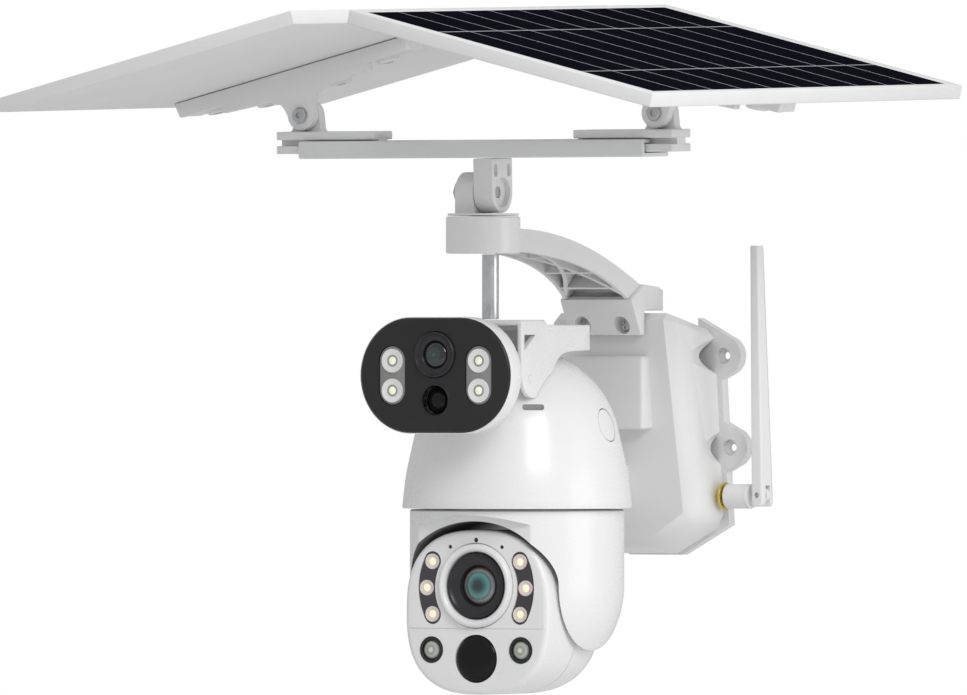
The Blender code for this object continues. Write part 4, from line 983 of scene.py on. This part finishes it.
# Camera head: squared circle in front, ball behind
def head_section(y, inset):
    beyond = max(0.0, y - DOME_Y)
    shrink = math.sqrt(max(0.0, 1 - (beyond / (HEAD_BACK - inset)) ** 2))
    outline = superellipse(HEAD_R - inset, HEAD_POWER, TILT_Z)
    return [(x * shrink, y, TILT_Z + (z - TILT_Z) * shrink) for x, z in outline]


def head_loft(name, stations):
    return loft(name, [head_section(y, inset) for y, inset in stations])


def ball(size, degrees):
    return [DOME_Y + size * math.sin(math.radians(a)) for a in degrees]


rim = [(FACE_Y, 0.003), (FACE_Y + 0.0001, 0.0024), (FACE_Y + 0.0005, 0.0013), (FACE_Y + 0.0012, 0.0005)]
head_face = head_loft(
    "head_front_look", rim + [(FACE_Y + 0.0022, 0.0001), (FACE_Y + 0.0032, 0), (HEAD_SPLIT_Y, 0)]
)
cut(head_face, head_loft("face_hollow", [(FACE_Y + WALL, 0.004), (HEAD_SPLIT_Y + 0.005, 0.0025)]))
bake(head_face)
seat(head_face, "lens_seat", 0.0234, FACE_Y, (0, LENS_Z), 128)
seat(head_face, "pir_seat", 0.0132, FACE_Y, (0, PIR_Z), 96)
for x, z, r in ((0, -0.0523, 0.0013), (0.0163, -0.0561, 0.0011), (-0.0163, -0.0561, 0.0011)):
    cut(head_face, forward("pinhole", r, FACE_Y - 0.01, FACE_Y + 0.0018, (x, z), 24))
    dot = forward("head_pinhole_look", r - 0.00005, FACE_Y + 0.0005, FACE_Y + 0.0016, (x, z), 24)
    place(dot, "head", lens_black)
cut(head_face, box("groove", (-0.046, FACE_Y - 0.01, -0.1011), (0.046, FACE_Y + 0.00025, -0.1006)))


def banana(side, half, reach):
    """A lamp window bent about the lens, from -reach to reach degrees."""
    outer = arc((0, LED_ARC_Z), LED_ARC_R + half, -reach, reach)
    end_x, rise = arc((0, 0), LED_ARC_R, reach, reach, 1)[0]
    top = arc((end_x, LED_ARC_Z + rise), half, reach, reach + 180, 16)[1:-1]
    inner = arc((0, LED_ARC_Z), LED_ARC_R - half, reach, -reach)
    low = arc((end_x, LED_ARC_Z - rise), half, 180 - reach, 360 - reach, 16)[1:-1]
    return [(side * x, z) for x, z in outer + top + inner + low]


for side in (-1, 1):
    cut(head_face, slab("led_seat", banana(side, 0.0053, 28), FACE_Y - 0.01, FACE_Y + 0.01, "XZ"))
    seat(head_face, "spot_seat", 0.0073, FACE_Y, (side * SPOT[0], SPOT[1]), 64)
place(head_face, "head", white_gloss, "head_front", angle=40)
stations = [(y, 0) for y in ball(HEAD_BACK, (0, 8, 16, 24, 32, 40, 48, 56, 63, 70, 76, 81, 85))]
rear = head_loft("head_rear_look", [(HEAD_SPLIT_Y + GAP, 0)] + stations)
hollow = [(y, WALL) for y in ball(HEAD_BACK - WALL, (0, 16, 32, 48, 62, 76))]
hollow = [(HEAD_SPLIT_Y - 0.005, WALL)] + hollow
cut(rear, head_loft("rear_hollow", hollow))
for side in (-1, 1):
    join(rear, across("axle", 0.004, side * 0.0415, side * 0.0505, (DOME_Y, TILT_Z), 48))
place(rear, "head", white_gloss, "head_rear", angle=40)

cone = [(0.0186, -0.0002), (0.019, 0.0014), (0.02, 0.0026), (0.0212, 0.0031), (0.0222, 0.0026)]
cone += [(0.023, 0.001), (0.0231, -0.0002), (0.0231, -0.012), (0, -0.012), (0, -0.008), (0.0182, -0.008)]
cone += [(0.0186, -0.0002)]
cone = turned("head_lens_barrel_look", cone, (0, FACE_Y, LENS_Z), 160, True)
place(cone, "head", white_gloss, "head_lens_barrel", angle=50)
ring = [(0.011, -0.0026), (0.0122, -0.0019), (0.0134, -0.0013), (0.0146, -0.0007), (0.0158, -0.0001)]
ring += [(0.0166, 0.0008), (0.0174, 0.0009), (0.0178, 0.0002), (0.0178, -0.0076), (0, -0.0076), (0, -0.0058)]
ring += [(0.011, -0.0058), (0.011, -0.002)]
ring = turned("head_lens_ring_look", ring, (0, FACE_Y, LENS_Z), 160, True)
place(ring, "head", lens_black, "head_lens_ring", angle=35)
glass = [(0, -0.0016), (0.003, -0.0018), (0.006, -0.0025), (0.0085, -0.0036), (0.01, -0.0046)]
glass += [(0.0108, -0.005), (0.0108, -0.0054), (0, -0.0054)]
glass = turned("head_lens_look", glass, (0, FACE_Y, LENS_Z), 128, True)
stops = [(0.0, (0.008, 0.022, 0.024)), (0.0026, (0.01, 0.04, 0.042)), (0.0046, (0.04, 0.17, 0.165))]
stops += [(0.0064, (0.11, 0.3, 0.29)), (0.0076, (0.05, 0.15, 0.15)), (0.0084, (0.3, 0.3, 0.3))]
stops += [(0.0093, (0.26, 0.24, 0.24)), (0.01, (0.12, 0.06, 0.055)), (0.0108, (0.035, 0.032, 0.034))]
place(glass, "head", radial("head_glass", (0, 0, LENS_Z), stops, 0.04, 1.0), "head_lens", angle=60)
eye = [(0.0126 * c, 0.0034 * s - 0.0012) for c, s in arc((0, 0), 1, 90, 5, 17)]
eye[0] = (0, eye[0][1])
eye += [(0.0126, -0.0012), (0.0126, -0.01), (0, -0.01)]
eye = turned("head_motion_look", eye, (0, FACE_Y, PIR_Z), 128, True)
place(eye, "head", black_gloss, "head_motion_sensor", angle=50)

lamp_halo = moulded("lamp_halo", (0.8, 0.7, 0.66), 0.25, bump=0.02, coat=0.5, uneven=0.05)
lamp_edge = moulded("lamp_edge", (0.42, 0.36, 0.33), 0.3, bump=0.03)
for side, word in ((-1, "left"), (1, "right")):
    window = slab(
        f"head_led_{word}_look", banana(side, 0.005, 28), FACE_Y + 0.0004, FACE_Y + 0.0022, "XZ", 0.0003
    )
    place(window, "head", smoke, f"head_led_{word}")
    for i, turn in enumerate((27.5, 0, -27.5)):
        x, rise = arc((0, 0), LED_ARC_R, turn, turn, 1)[0]
        at = (side * x, FACE_Y + 0.0004, LED_ARC_Z + rise)
        stops = [(0.0, (1.0, 0.8, 0.5)), (0.0014, (1.0, 0.84, 0.6)), (0.0026, (0.9, 0.72, 0.56))]
        chip = radial(f"head_chip_{word}_{i}", (at[0], 0, at[2]), stops, 0.12, 0.4, 0.45)
        mats = [lamp_halo, lamp_edge, chip]
        reflector(f"head_lamp_{word}_{i}", at, 0.0043, 0.0001, 0.0006, mats, "head", 0.5)
    at = (side * SPOT[0], FACE_Y, SPOT[1])
    rimmed = [(0.0056, 0.0004), (0.0062, 0.0008), (0.0068, 0.0006), (0.007, -0.0004), (0.007, -0.005)]
    rimmed += [(0, -0.005), (0, -0.0008), (0.0056, -0.0008), (0.0056, 0.0004)]
    rimmed = turned(f"head_spot_{word}_look", rimmed, at, 96, True)
    place(rimmed, "head", black, f"head_spot_{word}")
    dome_glass = [(0, 0.001), (0.0014, 0.0009), (0.0028, 0.0006), (0.0042, 0.0), (0.0054, -0.0007)]
    dome_glass += [(0.0054, -0.0012), (0, -0.0012)]
    dome_glass = turned(f"head_spot_glass_{word}", dome_glass, at, 96, True)
    stops = [(0.0, (0.85, 0.88, 0.8)), (0.0012, (0.62, 0.66, 0.58)), (0.002, (0.3, 0.34, 0.29))]
    stops += [(0.0036, (0.52, 0.56, 0.5)), (0.0046, (0.3, 0.33, 0.29)), (0.0054, (0.1, 0.11, 0.1))]
    look = radial(f"spot_glass_{word}", (at[0], 0, at[2]), stops, 0.05, 1.0)
    place(dome_glass, "head", look, angle=60)


# Antenna
sma_x, sma_y, sma_z = SMA
nut = across("sma_connector_look", 0.0078, 0.0484, 0.0498, (sma_y, sma_z), 96, soft=0.0003)
for i in range(36):
    a = 2 * math.pi * i / 36
    y, z = sma_y + 0.0079 * math.cos(a), sma_z + 0.0079 * math.sin(a)
    cut(nut, across("knurl", 0.0003, 0.047, 0.052, (y, z), 6))
join(nut, across("thread", 0.0031, sma_x - 0.006, 0.0555, (sma_y, sma_z), 48))
place(nut, "housing", brass, "sma_connector")
barrel = across("antenna_barrel_look", 0.0068, 0.0508, 0.0662, (sma_y, sma_z), 96, soft=0.0005)
cut(barrel, across("socket", 0.0034, 0.05, 0.057, (sma_y, sma_z), 48))
groove = across("groove", 0.008, 0.0646, 0.0649, (sma_y, sma_z), 96)
cut(groove, across("groove_core", 0.0066, 0.06, 0.07, (sma_y, sma_z), 96))
cut(barrel, groove)
bake(barrel)
ex, ez = ELBOW
neck = box("neck", (0.0655, sma_y - 0.002, ez - 0.0062), (0.0686, sma_y + 0.002, ez + 0.0055), 0.0003)
tongue = box("tongue", (0.067, sma_y - 0.002, ez - 0.004), (ex, sma_y + 0.002, ez + 0.004))
join(barrel, neck, tongue, forward("knuckle", 0.004, sma_y - 0.002, sma_y + 0.002, (ex, ez), 48))
cut(barrel, forward("pin_hole", 0.0014, sma_y - 0.02, sma_y + 0.02, (ex, ez), 24))
place(barrel, "antenna_base", white, "antenna_barrel")
pin = forward("antenna_pin_look", 0.0011, sma_y - 0.0062, sma_y + 0.0062, (ex, ez), 24, soft=0.0002)
place(pin, "antenna_base", zinc, "antenna_pin")
low_z, corner = ez - 0.0063, 0.0025
stations = [
    (low_z + corner - rise, 0.0035 - corner + out, 0.0066, 0) for out, rise in arc((0, 0), corner, 90, 0, 10)
]
stations += [(0.02, 0.0032, 0.0055, -0.0024), (BLADE_TOP_Z, 0.0026, 0.0036, -0.0064)]
rings = []
for z, half, deep, lean in stations:
    turn_in = min(0.0012, half * 0.5)
    flat = [(half - turn_in * (1 - c), deep - turn_in * (1 - s)) for c, s in arc((0, 0), 1, 0, 90, 5)]
    ring = [(x, y) for x, y in flat] + [(-x, y) for x, y in reversed(flat)]
    ring += [(-x, -y) for x, y in flat] + [(x, -y) for x, y in reversed(flat)]
    rings.append([(ex + x, sma_y + lean + y, z) for x, y in ring])
blade = loft("antenna_blade_look", rings)
cut(blade, box("slot", (ex - 0.01, sma_y - 0.0024, low_z - 0.01), (ex + 0.01, sma_y + 0.0024, ez + 0.0054)))
cut(blade, forward("pin_hole", 0.0014, sma_y - 0.02, sma_y + 0.02, (ex, ez), 24))
bake(blade)
seam = [(ex + 0.002, low_z + 0.004, sma_y + 0.0048), (ex + 0.002, BLADE_TOP_Z - 0.002, sma_y - 0.0042)]
section = ((0, 0), (0.004, 0), (0.004, 0.0004), (0, 0.0004))
rings = [[(x + a, y + b, z) for a, b in section] for x, z, y in seam]
cut(blade, loft("seam", rings))
place(blade, "antenna_blade", white, "antenna_blade")

# What can't be seen keeps the model's own solids, with finished materials
hidden = {"charge_board": board, "main_board": board, "dome_floor": white, "pan_bearing": zinc}
hidden.update({"pan_motor": steel, "tilt_motor": zinc})
hidden.update({f"battery_cell_{i}": wrap for i in (1, 2, 3)})
for name, mat in hidden.items():
    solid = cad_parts[name]
    solid.data.materials.clear()
    solid.data.materials.append(mat)


# Studio: pale floor well below, soft lights, and a long lens
floor_bm = bmesh.new()
bmesh.ops.create_grid(floor_bm, x_segments=24, y_segments=24, size=1.6)
floor = add("studio_floor", floor_bm, (0, -0.1, -0.42))
floor_paint = moulded("floor_paint", (0.86, 0.86, 0.86), 0.6, grain=300.0, soft=0.001)
floor.data.materials.append(floor_paint)

# The lens sees a plain white ground, and the object is lit by half as much of it
world = bpy.data.worlds.new("studio")
bpy.context.scene.world = world
world.use_nodes = True
studio = world.node_tree
lit = studio.nodes["Background"]
lit.inputs["Color"].default_value = (1, 1, 1, 1)
lit.inputs["Strength"].default_value = 0.5
seen = node(studio, "ShaderNodeBackground", Color=(1, 1, 1, 1), Strength=1.0)
path = node(studio, "ShaderNodeLightPath")
either = node(studio, "ShaderNodeMixShader")
studio.links.new(path.outputs["Is Camera Ray"], either.inputs["Fac"])
studio.links.new(lit.outputs["Background"], either.inputs[1])
studio.links.new(seen.outputs["Background"], either.inputs[2])
studio.links.new(either.outputs["Shader"], studio.nodes["World Output"].inputs["Surface"])


def lamp(name, at, aim, size, power):
    light = bpy.data.lights.new(name, "AREA")
    light.shape = "RECTANGLE"
    light.size, light.size_y = size
    light.energy = power
    obj = bpy.data.objects.new(name, light)
    obj.location = at
    obj.rotation_euler = (Vector(aim) - Vector(at)).to_track_quat("-Z", "Y").to_euler()
    looks.objects.link(obj)


centre = (0, -0.15, 0.03)
lamp("key", (1.5, -1.3, 1.15), centre, (0.9, 0.9), 20)
lamp("side", (2.2, 0.3, -0.1), centre, (1.2, 1.6), 10)
lamp("top", (0.2, 0.0, 2.2), centre, (1.4, 1.4), 10)

cam = bpy.data.cameras.new("camera")
cam.sensor_width = 36
cam.lens = 36 * 10 / 0.53185
view_from = bpy.data.objects.new("camera", cam)
sideways = Vector((math.cos(math.radians(30)), math.sin(math.radians(30)), 0))
inward = Vector((-math.sin(math.radians(30)), math.cos(math.radians(30)), 0))
target = sideways * -0.0993 + inward * -0.13 + Vector((0, 0, 0.0531))
view_from.location = target - inward * 10
view_from.rotation_euler = inward.to_track_quat("-Z", "Y").to_euler()
cam.clip_start, cam.clip_end = 0.1, 100
looks.objects.link(view_from)
bpy.context.scene.camera = view_from
bpy.context.scene.view_settings.view_transform = "Standard"
